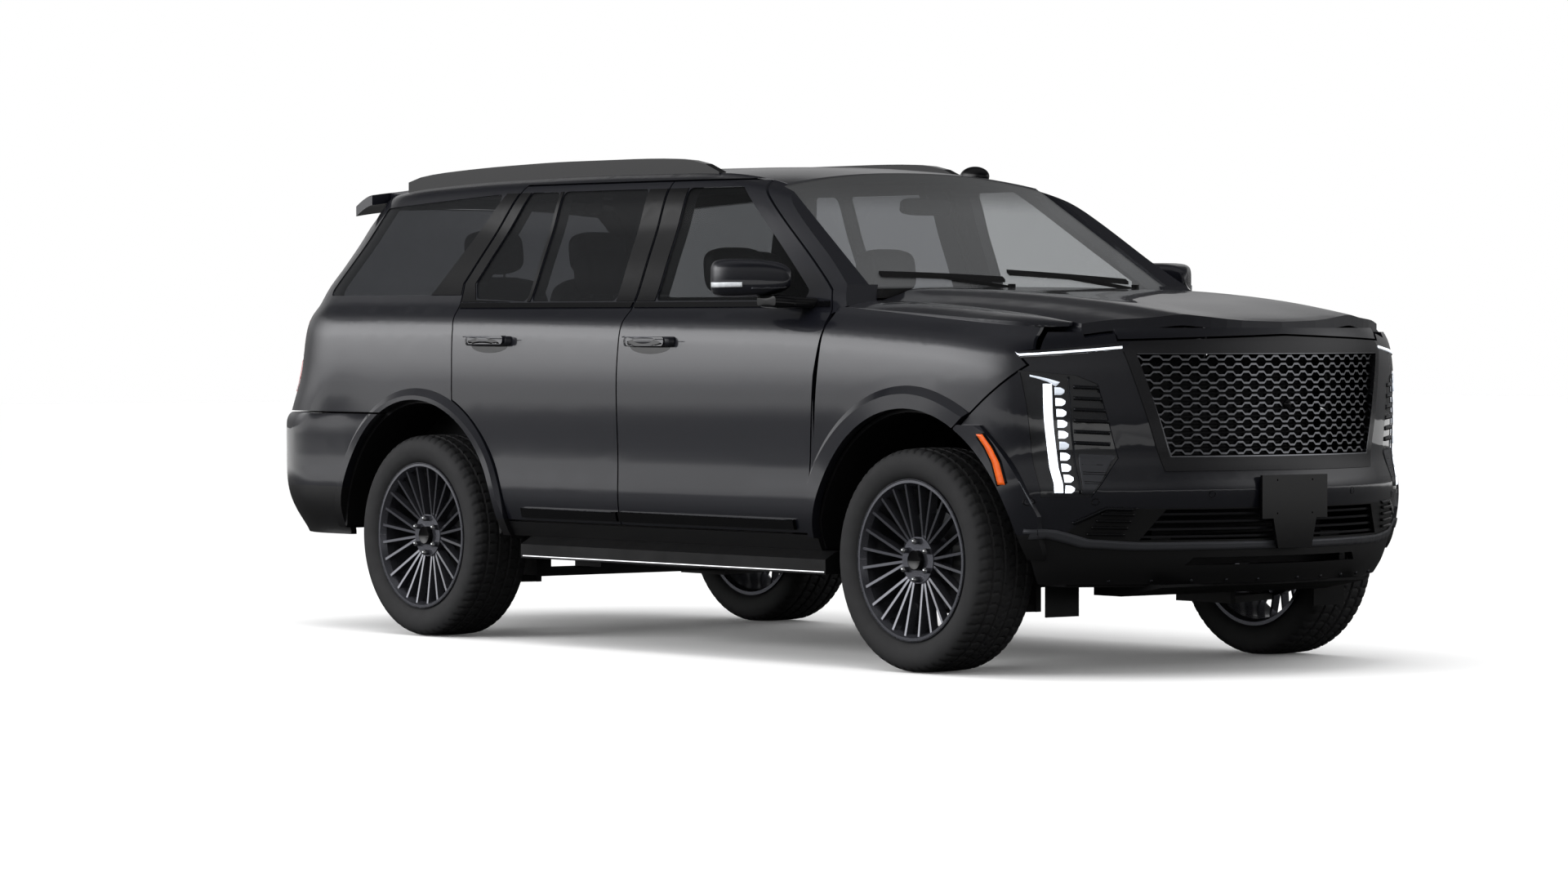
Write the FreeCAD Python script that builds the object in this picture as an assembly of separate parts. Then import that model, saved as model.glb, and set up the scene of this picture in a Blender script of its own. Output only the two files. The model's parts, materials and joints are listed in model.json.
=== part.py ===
import FreeCAD, Part
import math
import os
from FreeCAD import Vector

os.makedirs("parts", exist_ok=True)

# Full-size three-row SUV, in millimetres: +X forward, +Y to the vehicle's left, +Z up from the road.
# The origin lies on the road, halfway along and across.

# Stance
length = 5382.0
wheelbase = 3071.0
front_overhang = 985.0
tyre_radius = 412.0
tyre_width = 280.0
front_track = 1740.0
rear_track = 1736.0

# Body side: half widths and the heights where they are reached
sill_bottom = 430.0
sill_half = 955.0
door_bottom = 495.0
door_bottom_half = 985.0
lower_crease = 600.0
lower_crease_half = 1003.0
upper_turn = 705.0
upper_turn_half = 1002.0
widest_height = 1080.0
widest_half = 1010.0
shoulder_half = 988.0
shoulder_height = 1275.0
belt_height = 1358.0
belt_half = 925.0
glass_lean = 0.40
roof_edge_height = 1872.0
roof_edge_half = 628.0
roof_height = 1905.0

# Nose and tail depths of the rounded plan corners
nose_depth = 760.0
tail_depth = 480.0
plate_stand_off = 12.0

# Panels
panel_gap = 7.5
seat_gap = 0.3
skin_depth = 14.0
lap = 4.0
door_depth = 115.0
wall_depth = 150.0
pillar_depth = 60.0
door_inset = 45.0
frame_inset = 12.0
door_clearance = 12.0
fender_depth = 15.0
arch_radius = 548.0
arch_rise = 8.0
flare_radius = 632.0
flare_out = 20.0
flare_slope = 1.5
door_arch_radius = 604.0

# Places along the body
b_pillar_x = -26.0
b_pillar_top_x = -18.0
front_door_front = 1122.0
front_door_belly = 34.0
front_door_peak = 78.0
rear_door_rear = -1118.0
rear_door_lean = 66.0
rear_door_top_x = -985.0
a_pillar_top_x = 470.0
door_top = 1834.0
window_top = 1808.0
window_sill = 1366.0
b_applique = 122.0
windshield_base_x = 1205.0
windshield_base_z = 1420.0
windshield_top_x = 579.0
windshield_top_z = 1867.0
windshield_base_half = 767.0
windshield_top_half = 665.0
windshield_crown = 61.0
glass = 6.0
hood_rear_x = 1268.0
hood_cut_half = 752.0
hood_thick = 40.0

half_length = length / 2
nose = half_length - plate_stand_off
front_axle = half_length - front_overhang
rear_axle = front_axle - wheelbase
arch_height = tyre_radius + arch_rise

# Shares of the nose depth and of the half width, from the centre line round the corner to the flat side
nose_plan_shares = [
    (0, 0), (0.021, 0.198), (0.084, 0.397), (0.189, 0.595), (0.292, 0.734), (0.382, 0.833),
    (0.461, 0.898), (0.542, 0.942), (0.632, 0.972), (0.737, 0.990), (0.855, 0.998), (1, 1),
]
tail_plan_shares = [
    (0, 0), (0.02, 0.25), (0.08, 0.48), (0.18, 0.67), (0.30, 0.80), (0.44, 0.885),
    (0.58, 0.935), (0.73, 0.968), (0.87, 0.990), (1, 1),
]

# Shares of the roof's height, and of the nose and tail depths: how far the centre line stands back
nose_profile_shares = [
    (0.170, 0.130), (0.197, 0.068), (0.245, 0.030), (0.300, 0.020), (0.370, 0.000), (0.400, 0.020),
    (0.552, 0.036), (0.617, 0.046), (0.646, 0.058), (0.668, 0.075), (0.720, 0.100),
]
tail_profile_shares = [
    (0.200, 0.260), (0.235, 0.150), (0.315, 0.025), (0.365, 0.000), (0.445, 0.010), (0.477, 0.110),
    (0.504, 0.200), (0.680, 0.335), (0.735, 0.400), (0.940, 0.720), (1.000, 0.800),
]

# Shares of the half length, and shares of a height or half width
shoulder_line_shares = [(-0.95, 1.012), (-0.37, 1.010), (0, 1), (0.37, 0.990), (0.48, 0.981), (0.85, 0.940)]
belt_line_shares = [
    (-0.90, 1.0235), (-0.45, 1.0147), (-0.33, 1.005), (0, 1), (0.43, 0.990), (0.48, 0.985), (0.82, 0.945),
]
roof_edge_shares = [
    (-0.88, 0.968), (-0.75, 0.982), (-0.48, 0.998), (-0.22, 1.002), (0, 1), (0.09, 0.995),
    (0.167, 0.983), (0.223, 0.968), (0.47, 0.835), (0.85, 0.79),
]
roof_half_shares = [
    (-0.86, 0.94), (-0.74, 0.98), (-0.48, 1), (0.16, 1.006), (0.22, 1.03), (0.45, 1.21), (0.85, 1.24),
]
roof_line_shares = [
    (-0.84, 0.974), (-0.74, 0.981), (-0.48, 0.996), (-0.22, 1.0005), (0, 0.999), (0.15, 0.991),
    (0.216, 0.980),
]
hood_line_shares = [(0.45, 1.0), (0.6, 0.988), (0.75, 0.966), (0.86, 0.942), (0.93, 0.922), (0.98, 0.901)]


def curve(table, at):
    """Value at one place of the smooth curve through a table of (place, value) pairs."""
    if at <= table[0][0]:
        return table[0][1]
    if at >= table[-1][0]:
        return table[-1][1]
    i = max(k for k in range(len(table)) if table[k][0] <= at)

    def secant(k):
        return (table[k + 1][1] - table[k][1]) / (table[k + 1][0] - table[k][0])

    def slope(k):
        if k == 0:
            return secant(0)
        if k == len(table) - 1:
            return secant(k - 1)
        before, after = secant(k - 1), secant(k)
        return 0 if before * after <= 0 else 2 * before * after / (before + after)

    (x0, y0), (x1, y1) = table[i], table[i + 1]
    span = x1 - x0
    t = (at - x0) / span
    start = (1 + 2 * t) * (1 - t) ** 2 * y0 + t * (1 - t) ** 2 * span * slope(i)
    return start + t * t * (3 - 2 * t) * y1 + t * t * (t - 1) * span * slope(i + 1)


def front_x(z):
    """Where the nose's centre line stands at one height."""
    return nose - nose_depth * curve(nose_profile_shares, z / roof_height)


def rear_x(z):
    """Where the tail's centre line stands at one height."""
    return -half_length + tail_depth * curve(tail_profile_shares, z / roof_height)


def plan_share(x, z):
    """How much of the half width is left at one place along the body, near its rounded ends."""
    ahead = (front_x(z) - x) / nose_depth
    behind = (x - rear_x(z)) / tail_depth
    return curve(nose_plan_shares, ahead) * curve(tail_plan_shares, behind)


def along(shares, x):
    return curve(shares, x / half_length)


def side_rows(x):
    """Heights and half widths of the body side's section at one place along it, from sill to roof."""
    shoulder = shoulder_height * along(shoulder_line_shares, x)
    belt = belt_height * along(belt_line_shares, x)
    edge = roof_edge_height * along(roof_edge_shares, x)
    edge_half = roof_edge_half * along(roof_half_shares, x)
    rise = belt - shoulder
    foot = belt + 0.3 * rise
    foot_half = belt_half - 0.3 * rise * glass_lean * 1.3
    crown = edge - 0.11 * (roof_edge_height - belt_height)
    crown_half = edge_half + 0.19 * roof_edge_half * (edge - foot) / (roof_edge_height - belt_height)
    rows = [
        (sill_bottom, sill_half),
        (door_bottom, door_bottom_half),
        (lower_crease, lower_crease_half),
        (upper_turn, upper_turn_half),
        ((upper_turn + widest_height) / 2, (upper_turn_half + 2 * widest_half) / 3),
        (widest_height, widest_half),
        (widest_height + 0.6 * (shoulder - widest_height), 0.7 * widest_half + 0.3 * shoulder_half),
        (shoulder, shoulder_half),
        (shoulder + 0.25 * rise, 0.8 * shoulder_half + 0.2 * belt_half),
        (shoulder + 0.7 * rise, 0.25 * shoulder_half + 0.75 * belt_half),
        (belt, belt_half),
        (foot, foot_half),
    ]
    for share in (0.33, 0.66):
        rows.append((foot + share * (crown - foot), foot_half + share * (crown_half - foot_half)))
    rows.append((crown, crown_half))
    rows.append((crown + 0.37 * (edge - crown), edge_half + 0.82 * (crown_half - edge_half)))
    rows.append((crown + 0.68 * (edge - crown), edge_half + 0.5 * (crown_half - edge_half)))
    rows.append((edge, edge_half))
    return rows


side_station_shares = [
    0, 0.03, 0.07, 0.12, 0.19, 0.27, 0.36, 0.45, 0.54, 0.60,
    0.66, 0.71, 0.76, 0.81, 0.86, 0.90, 0.94, 0.97, 1,
]


def side_grid():
    """Grid of points on the left body side, from just inside the tail's corner to just inside the nose's."""
    middle = side_rows(0)
    grid = []
    for share in side_station_shares:
        row = []
        for number, (level, _) in enumerate(middle):
            rearmost = rear_x(level) + 0.30 * tail_depth
            foremost = front_x(min(level, belt_height)) - 0.46 * nose_depth
            x = rearmost + share * (foremost - rearmost)
            z, half = side_rows(x)[number]
            row.append(Vector(x, half * plan_share(x, min(z, level)), z))
        grid.append(row)
    return grid


def skin(grid):
    surface = Part.BSplineSurface()
    surface.interpolate(grid)
    return surface.toShape()


def moved(shape, x, y, z):
    copy = shape.copy()
    copy.translate(Vector(x, y, z))
    return copy


def layer(face, depth, inner):
    """Solid between two depths behind a face of the left body side."""
    return moved(face, 0, -depth, 0).extrude(Vector(0, depth - inner, 0))


def mirrored(shape):
    return shape.mirror(Vector(0, 0, 0), Vector(0, 1, 0))


def both(shape):
    return Part.makeCompound([shape, mirrored(shape)])


def grown(points, by):
    """Outline moved outwards by one distance, corner for corner."""
    area = sum(a[0] * b[1] - b[0] * a[1] for a, b in zip(points, points[1:] + points[:1]))
    turn = by if area > 0 else -by
    result = []
    for i, (x, z) in enumerate(points):
        before, after = points[i - 1], points[(i + 1) % len(points)]
        in_length = math.hypot(x - before[0], z - before[1])
        out_length = math.hypot(after[0] - x, after[1] - z)
        n1 = ((z - before[1]) / in_length, (before[0] - x) / in_length)
        n2 = ((after[1] - z) / out_length, (x - after[0]) / out_length)
        scale = turn / (1 + n1[0] * n2[0] + n1[1] * n2[1])
        result.append((x + (n1[0] + n2[0]) * scale, z + (n1[1] + n2[1]) * scale))
    return result


def rounded(corners, radius):
    """Closed wire through corner points, each corner rounded as far as its sides leave room."""
    arcs = []
    for i, corner in enumerate(corners):
        back = corners[i - 1] - corner
        ahead = corners[(i + 1) % len(corners)] - corner
        half = back.getAngle(ahead) / 2
        reach = min(radius / math.tan(half), 0.45 * back.Length, 0.45 * ahead.Length)
        fitted = reach * math.tan(half)
        to_back = Vector(back).normalize()
        to_ahead = Vector(ahead).normalize()
        start = corner + to_back * reach
        end = corner + to_ahead * reach
        inward = to_back + to_ahead
        if radius == 0 or inward.Length < 0.05:
            arcs.append((corner, None, corner))
        else:
            arcs.append((start, corner + inward.normalize() * (fitted / math.sin(half) - fitted), end))
    edges = []
    for i, (start, middle, end) in enumerate(arcs):
        if middle:
            edges.append(Part.Arc(start, middle, end).toShape())
        edges.append(Part.LineSegment(end, arcs[(i + 1) % len(arcs)][0]).toShape())
    return Part.Wire(edges)


def side_prism(points, radius, y0, y1):
    """Outline of (x, z) points, carried across from one y to another."""
    wire = rounded([Vector(x, y0, z) for x, z in points], radius)
    return Part.Face(wire).extrude(Vector(0, y1 - y0, 0))


def front_prism(points, radius, x0, x1):
    """Outline of (y, z) points, carried along from one x to another."""
    wire = rounded([Vector(x0, y, z) for y, z in points], radius)
    return Part.Face(wire).extrude(Vector(x1 - x0, 0, 0))


def plan_prism(points, radius, z0, z1):
    """Outline of (x, y) points, carried up from one z to another."""
    wire = rounded([Vector(x, y, z0) for x, y in points], radius)
    return Part.Face(wire).extrude(Vector(0, 0, z1 - z0))


def block(x0, x1, y0, y1, z0, z1):
    return Part.makeBox(x1 - x0, y1 - y0, z1 - z0, Vector(x0, y0, z0))


def cross_cylinder(x, z, radius, y0, y1):
    """Cylinder about an axis across the vehicle."""
    return Part.makeCylinder(radius, y1 - y0, Vector(x, y0, z), Vector(0, 1, 0))


def joined(shapes):
    first, rest = shapes[0], shapes[1:]
    return first.fuse(rest).removeSplitter() if rest else first


def end_grid(centre_x, plan_shares, depth, levels, inset, to_rear):
    """Grid of points round the nose or the tail, from side to side, set in by one distance."""
    grid = []
    sides = [(d, -y) for d, y in reversed(plan_shares)] + plan_shares[1:]
    for level, half in levels:
        row = []
        for d, y in sides:
            x = centre_x(level) + (d * (depth - inset) + inset) * to_rear
            row.append(Vector(x, y * (half - inset), level))
        grid.append(row)
    return grid


def shell_between(outer, inner):
    """Closed solid between two grids of points that match row for row."""
    surfaces = []
    for grid in (outer, inner):
        surface = Part.BSplineSurface()
        surface.interpolate(grid)
        surfaces.append(surface)
    faces = [surface.toShape() for surface in surfaces]
    u0, u1, v0, v1 = surfaces[0].bounds()
    s0, s1, t0, t1 = surfaces[1].bounds()
    rims = [
        (surfaces[0].uIso(u0), surfaces[1].uIso(s0)),
        (surfaces[0].uIso(u1), surfaces[1].uIso(s1)),
        (surfaces[0].vIso(v0), surfaces[1].vIso(t0)),
        (surfaces[0].vIso(v1), surfaces[1].vIso(t1)),
    ]
    for a, b in rims:
        faces.append(Part.makeRuledSurface(a.toShape(), b.toShape()))
    shell = Part.makeShell(faces)
    shell.sewShape()
    solid = Part.makeSolid(Part.Shell(shell.Faces) if shell.ShapeType == "Compound" else shell)
    if solid.Volume < 0:
        solid.reverse()
    return solid


def in_box(shares, low, high, bottom, top):
    """Corner points from shares of a box's width and height."""
    return [(low + a * (high - low), bottom + b * (top - bottom)) for a, b in shares]


def section_half(z):
    """Half width of the body's section at one height, for the nose and the tail."""
    rows = side_rows(-0.8 * half_length)
    return curve(rows, z)


def nose_half(z):
    rows = side_rows(0.7 * half_length)
    return curve([r for r in rows if r[0] <= belt_height], z)


# Outlines on the left body side, as (x, z) corners
shoulder = shoulder_height * 0.985
pillar_foot_x = 1140.0
pillar_foot_z = 1400.0
front_door_outline = [
    (b_pillar_x, door_bottom),
    (front_door_front, door_bottom),
    (front_door_front + 0.4 * front_door_belly, upper_turn),
    (front_door_front + front_door_belly, widest_height - nose_depth / 6),
    (front_door_front + 1.3 * front_door_belly, widest_height + lap),
    (front_door_front + front_door_peak, shoulder),
    (front_door_front + 0.8 * front_door_peak, (shoulder + pillar_foot_z) / 2),
    (pillar_foot_x, pillar_foot_z),
    (a_pillar_top_x, door_top),
    (b_pillar_top_x, door_top),
    (b_pillar_top_x, belt_height),
    (b_pillar_x, widest_height),
]
rear_door_knee_z = 1440.0
rear_door_outline = [
    (rear_door_rear, door_bottom),
    (b_pillar_x - panel_gap, door_bottom),
    (b_pillar_x - panel_gap, widest_height),
    (b_pillar_top_x - panel_gap, belt_height),
    (b_pillar_top_x - panel_gap, door_top),
    (rear_door_top_x, door_top),
    (rear_door_rear - rear_door_lean, rear_door_knee_z),
    (rear_door_rear - 0.15 * rear_door_lean, shoulder),
    (rear_door_rear, widest_height),
]
pillar_slope = (pillar_foot_x - a_pillar_top_x) / (door_top - pillar_foot_z)
frame_width = 100.0
front_window = [
    (b_pillar_top_x + b_applique, window_sill),
    (pillar_foot_x - frame_width + pillar_slope * (pillar_foot_z - window_sill) / 2, window_sill),
    (pillar_foot_x - frame_width - pillar_slope * (window_top - pillar_foot_z), window_top),
    (b_pillar_top_x + b_applique, window_top),
]
divider_x = -715.0
divider_half = 14.0
rear_window = [
    (divider_x + divider_half, window_sill),
    (b_pillar_top_x - panel_gap - b_applique, window_sill),
    (b_pillar_top_x - panel_gap - b_applique, window_top),
    (divider_x + divider_half, window_top),
]
rear_frame_width = 62.0
small_window = [
    (rear_door_rear + 0.8 * rear_frame_width, window_sill + 0.2 * rear_frame_width),
    (divider_x - divider_half, window_sill),
    (divider_x - divider_half, window_top),
    (rear_door_top_x + rear_frame_width, window_top),
    (rear_door_rear - rear_door_lean + 1.2 * rear_frame_width, rear_door_knee_z),
]
quarter_front_x = -1391.0
quarter_rear_x = -2145.0
quarter_top_front_x = -1100.0
quarter_top_rear_x = -1974.0
quarter_sill = 1395.0
quarter_top_rear_z = 1762.0
quarter_window = [
    (quarter_rear_x, quarter_sill),
    (quarter_front_x, quarter_sill),
    (quarter_top_front_x, window_top),
    (quarter_top_rear_x, quarter_top_rear_z),
]
bumper_cut_foot_x = 1996.0
bumper_cut_foot_z = 912.0
bumper_cut_top_x = 2266.0
bumper_cut_top_z = 1122.0
lamp_corner_x = 2226.0
lamp_corner_z = 1176.0
fender_tip_x = 2292.0
fender_tip_z = 1262.0
fender_top_front_x = 2325.0
fender_bottom = 478.0
fender_outline = [
    (front_door_front + panel_gap, fender_bottom),
    (front_axle, fender_bottom),
    (front_axle, upper_turn),
    (bumper_cut_foot_x, bumper_cut_foot_z + panel_gap),
    (bumper_cut_top_x, bumper_cut_top_z + panel_gap),
    (lamp_corner_x, lamp_corner_z),
    (fender_tip_x, lamp_corner_z + frame_inset),
    (fender_tip_x, fender_tip_z),
    (hood_rear_x, belt_height * along(belt_line_shares, hood_rear_x)),
    (hood_rear_x - frame_width / 2, belt_height * along(belt_line_shares, hood_rear_x)),
]
bumper_top_rear = 905.0
below_sill = sill_bottom / 2
region = [
    (-half_length, bumper_top_rear + panel_gap),
    (rear_axle, bumper_top_rear + panel_gap),
    (rear_axle, below_sill),
    (front_door_front + door_inset, below_sill),
    (front_door_front + door_inset, shoulder + door_inset),
    (hood_rear_x - panel_gap, belt_height * along(belt_line_shares, hood_rear_x) + lap),
    (windshield_base_x, windshield_base_z + lap),
    (windshield_top_x, door_top),
    (a_pillar_top_x - frame_width, roof_height),
    (-half_length, roof_height),
]

# Liftgate and tail lamp, as (y, z) corners and (x, z) corners
gate_half = 822.0
gate_top_half = 700.0
gate_bottom = 912.0
gate_shoulder_z = 1350.0
gate_knee_z = 1765.0
gate_front_x = -2112.0
gate_depth = 55.0
gate_outline = [
    (-gate_half, gate_bottom), (gate_half, gate_bottom), (gate_half, gate_shoulder_z),
    (gate_top_half, gate_knee_z), (gate_top_half, roof_height), (-gate_top_half, roof_height),
    (-gate_top_half, gate_knee_z), (-gate_half, gate_shoulder_z),
]
gate_window_half = 742.0
gate_window_top_half = 640.0
gate_window_sill = 1345.0
gate_window_top = 1768.0
gate_window = [
    (-gate_window_half, gate_window_sill), (gate_window_half, gate_window_sill),
    (gate_window_top_half, gate_window_top), (-gate_window_top_half, gate_window_top),
]
tail_lamp_front_x = -2300.0
tail_lamp_bottom = 990.0
tail_lamp_top = 1402.0
tail_lamp_depth = 42.0
tail_lamp_outline = [
    (-half_length, tail_lamp_bottom), (tail_lamp_front_x, tail_lamp_bottom),
    (tail_lamp_front_x, tail_lamp_top), (-half_length, tail_lamp_top),
]


def across(points, inner=0, outer=None):
    """Prism of a side outline through the whole left half."""
    return side_prism(points, 0, inner, outer if outer else length)


def upright(z0, z1):
    """Everything between two heights."""
    return block(-length, length, -length, length, z0, z1)


side_face = skin(side_grid())
frame_overlap = 20.0
behind_skin = 12.0
overrun = 30.0


def arch_tool(radius):
    return cross_cylinder(rear_axle, arch_height, radius, 0, length)


def door_rooms(outline, arch, gap, clearance):
    """Prisms that one door's skin, box and window frame fill, or with clearances its holes."""
    rooms = [
        across(grown(outline, gap)),
        across(grown(outline, clearance - door_inset)).common(upright(0, window_sill - lap + clearance)),
        across(grown(outline, clearance / 2 - frame_inset)).common(
            upright(window_sill - frame_overlap, roof_height)
        ),
    ]
    if arch:
        insets = (-gap, door_inset - clearance, frame_inset)
        rooms = [room.cut(arch_tool(door_arch_radius + inset)) for room, inset in zip(rooms, insets)]
    return rooms


def door_body(outline, arch):
    skin_room, box_room, frame_room = door_rooms(outline, arch, 0, 0)
    skin_part = layer(side_face, 0, skin_depth).common(skin_room)
    box_part = layer(side_face, skin_depth - lap, door_depth).common(box_room)
    frame_part = layer(side_face, skin_depth - lap, pillar_depth - lap).common(frame_room)
    return joined([skin_part, box_part, frame_part])


def b_pillar_room(x):
    """What the window frames leave free for the B pillar's upper part."""
    room = block(x - door_inset / 2, x + door_inset / 2, 0, length, window_sill, roof_height)
    return room.common(layer(side_face, skin_depth, 2 * pillar_depth))


def door(outline, windows, arch):
    body = door_body(outline, arch)
    for window in windows:
        body = body.cut(side_prism(window, frame_inset * 2, 0, length))
    return body.cut(b_pillar_room(b_pillar_top_x - panel_gap / 2))


def pane(window):
    """Side glass in its opening, a little behind the outer skin."""
    sheet = layer(side_face, glass, 2 * glass)
    return sheet.common(side_prism(grown(window, -seat_gap), frame_inset * 2, 0, length))


def roof_z(x, y):
    """Height of the roof's outer skin."""
    middle = roof_height * along(roof_line_shares, x)
    edge = roof_edge_height * along(roof_edge_shares, x)
    edge_half = roof_edge_half * along(roof_half_shares, x)
    return middle - (middle - edge) * (abs(y) / edge_half) ** 2.2


def sheet(stations, cross_shares, place):
    """Surface through place(x, share) for each station and each share of the half width."""
    return skin([[place(x, share) for share in cross_shares] for x in stations])


cross_shares = [-1, -0.85, -0.65, -0.4, 0, 0.4, 0.65, 0.85, 1]
roof_thick = 30.0
roof_front_x = windshield_top_x - lap
roof_stations = [gate_front_x + (roof_front_x - gate_front_x) * i / 9 for i in range(10)]


def roof_sheet(inset):
    def place(x, share):
        y = share * (roof_edge_half * along(roof_half_shares, x) - inset)
        return Vector(x, y, roof_z(x, y))

    return sheet(roof_stations, cross_shares, place)


roof_panel = roof_sheet(seat_gap).extrude(Vector(0, 0, -roof_thick))
roof_guard = moved(roof_sheet(-panel_gap), 0, 0, roof_thick)
roof_guard = roof_guard.extrude(Vector(0, 0, -2 * roof_thick - panel_gap))
front_door = door(front_door_outline, [front_window], False).cut(roof_guard)
rear_door = door(rear_door_outline, [rear_window, small_window], True).cut(roof_guard)
roof_room = moved(roof_sheet(0), 0, 0, roof_thick).extrude(Vector(0, 0, -2 * roof_thick - seat_gap))


cowl_reach = 0.09


def windshield_sheet(inset, reach=0):
    """The windshield's outer face, carried on below its base by a share of its own height."""
    grid = []
    for up in (-reach, 0.25, 0.5, 0.75, 1):
        row = []
        for share in cross_shares:
            half = windshield_base_half + up * (windshield_top_half - windshield_base_half) - inset
            x = windshield_base_x + up * (windshield_top_x - windshield_base_x)
            rise = windshield_base_z + up * (windshield_top_z - windshield_base_z)
            drop = windshield_crown * share ** 2 * (0.1 + 0.9 * max(up, 0))
            row.append(Vector(x, share * half, rise - drop))
        grid.append(row)
    return skin(grid)


windshield = windshield_sheet(seat_gap).extrude(Vector(0, 0, -glass))
windshield_room = moved(windshield_sheet(0), 0, 0, door_depth).extrude(Vector(0, 0, -2 * door_depth))

rear_arch = cross_cylinder(rear_axle, arch_height, arch_radius, 0, length)
front_arch = cross_cylinder(front_axle, arch_height, arch_radius, 0, length)


def flare(axle_x, outer_radius, outline):
    """Lip that stands out round a wheel arch and slopes off towards the panel, within one side outline."""
    ring = cross_cylinder(axle_x, arch_height, outer_radius, 0, length)
    ring = ring.cut(cross_cylinder(axle_x, arch_height, arch_radius, 0, length))
    slope = Part.makeCone(
        outer_radius + flare_slope * widest_half, 0, widest_half + outer_radius / flare_slope,
        Vector(axle_x, 0, arch_height), Vector(0, 1, 0)
    )
    return layer(side_face, -flare_out, fender_depth).common(ring).common(slope).common(across(outline))


def body_side():
    """Sill, pillars, cant rail and quarter panel in one, with the holes for doors, glass and lamps."""
    outer_depth = skin_depth + behind_skin
    outer = layer(side_face, 0, outer_depth).common(across(region))
    middle = layer(side_face, outer_depth - lap, pillar_depth).common(across(region))
    backing = layer(side_face, pillar_depth - frame_overlap, wall_depth).common(across(region))
    backing = joined([
        backing.common(upright(0, window_sill - lap)),
        backing.common(block(windshield_top_x, length, 0, length, window_sill - frame_overlap, roof_height)),
    ])
    for outline, arch in ((front_door_outline, False), (rear_door_outline, True)):
        skin_hole, box_hole, frame_hole = door_rooms(outline, arch, panel_gap, door_clearance)
        outer = outer.cut(skin_hole)
        middle = middle.cut(box_hole).cut(frame_hole)
        backing = backing.cut(box_hole).cut(frame_hole)
    outer = outer.cut(across(grown(fender_outline, seat_gap)))
    body = joined([outer, middle, backing])
    body = body.cut(rear_arch).cut(front_arch)
    ring_outline = [
        (rear_axle - flare_radius, bumper_top_rear + panel_gap), (rear_axle, bumper_top_rear + panel_gap),
        (rear_axle, below_sill), (rear_axle + flare_radius, below_sill),
        (rear_axle + flare_radius, roof_height), (rear_axle - flare_radius, roof_height),
    ]
    body = joined([body, flare(rear_axle, door_arch_radius - panel_gap, ring_outline)])
    body = body.cut(side_prism(quarter_window, frame_inset * 2, 0, length))
    body = body.cut(roof_room).cut(windshield_room)
    body = body.cut(front_prism(grown(gate_outline, panel_gap), 0, -length, gate_front_x + panel_gap))
    lamp = layer(side_face, -overrun, tail_lamp_depth + seat_gap)
    return body.cut(lamp.common(across(grown(tail_lamp_outline, seat_gap))))


body_side_left = body_side()
tail_lamp = layer(side_face, 0, tail_lamp_depth).common(across(tail_lamp_outline))
tail_lamp = tail_lamp.cut(front_prism(grown(gate_outline, panel_gap), 0, -length, gate_front_x))


hood_corner_x = 2372.0
hood_drop = 52.0
crease_rear_y = 600.0
crease_front_y = 457.0
crease_rise = 12.0
crease_outer = 60.0
crease_inner = 150.0


def crease_y(x):
    """Half distance between the hood's two creases, which come together towards the nose."""
    ahead = (x - hood_rear_x) / (hood_corner_x - hood_rear_x)
    return crease_rear_y + (crease_front_y - crease_rear_y) * ahead


def hood_z(x, y):
    """Height of the hood's outer skin: a crown that falls off to the sides, with the two creases."""
    middle = windshield_base_z * along(hood_line_shares, x)
    off = abs(y) - crease_y(x)
    spread = crease_outer if off > 0 else crease_inner
    return middle - hood_drop * (abs(y) / hood_cut_half) ** 4 + crease_rise * math.exp(-(off / spread) ** 2)


def hood_columns(x):
    """Places across the hood, with one column on each crease."""
    crease = crease_y(x)
    edge = hood_cut_half + frame_width
    half = [crease * i / 8 for i in range(1, 9)] + [crease + (edge - crease) * i / 5 for i in range(1, 6)]
    return [-y for y in reversed(half)] + [0] + half


def hood_sheet(front):
    """The hood's outer skin from the windshield to one place ahead."""
    stations = [hood_rear_x + (front - hood_rear_x) * i / 8 for i in range(9)]
    return skin([[Vector(x, y, hood_z(x, y)) for y in hood_columns(x)] for x in stations])


def nose_line(z, inset, half_limit):
    """Plan points of the nose's outline at one height, from right to left."""
    depths = [(half, depth) for depth, half in nose_plan_shares]
    points = []
    for i in range(-12, 13):
        y = half_limit * i / 12
        points.append((front_x(z) - inset - nose_depth * curve(depths, abs(y) / nose_half(z)), y))
    return points


hood_front = front_x(fender_tip_z) - lap
hood_outline = [(hood_rear_x, -hood_cut_half)] + nose_line(fender_tip_z, lap, hood_cut_half)
hood_outline += [(hood_rear_x, hood_cut_half)]
hood = hood_sheet(hood_front + frame_inset).extrude(Vector(0, 0, -hood_thick))
hood = hood.common(plan_prism(hood_outline, 0, 0, roof_height))
hood_room = moved(hood_sheet(half_length), 0, 0, -hood_thick - panel_gap)
hood_room = hood_room.extrude(Vector(0, 0, 4 * hood_thick))
hood_room_half = hood_cut_half + panel_gap
hood_room = hood_room.common(block(0, length, -hood_room_half, hood_room_half, 0, roof_height))


def fender():
    """Front fender with its top, its arch lip and its open inner side."""
    side = layer(side_face, 0, fender_depth).common(across(fender_outline))
    side = side.cut(across(grown(front_door_outline, panel_gap)))
    grid = []
    for i in range(9):
        x = hood_rear_x + (fender_top_front_x - hood_rear_x) * i / 8
        belt = belt_height * along(belt_line_shares, x)
        inner = hood_cut_half + panel_gap
        outer = belt_half * plan_share(x, belt) - seat_gap
        top = hood_z(x, hood_cut_half)
        row = []
        for share in (0, 0.25, 0.5, 0.75, 1):
            row.append(Vector(x, inner + share * (outer - inner), top - (top - belt) * share ** 2))
        grid.append(row)
    top_skin = skin(grid).extrude(Vector(0, 0, -fender_depth))
    body = joined([side, top_skin]).cut(front_arch)
    body = joined([body, flare(front_axle, flare_radius, fender_outline)])
    return body


fender_left = fender()

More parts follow.
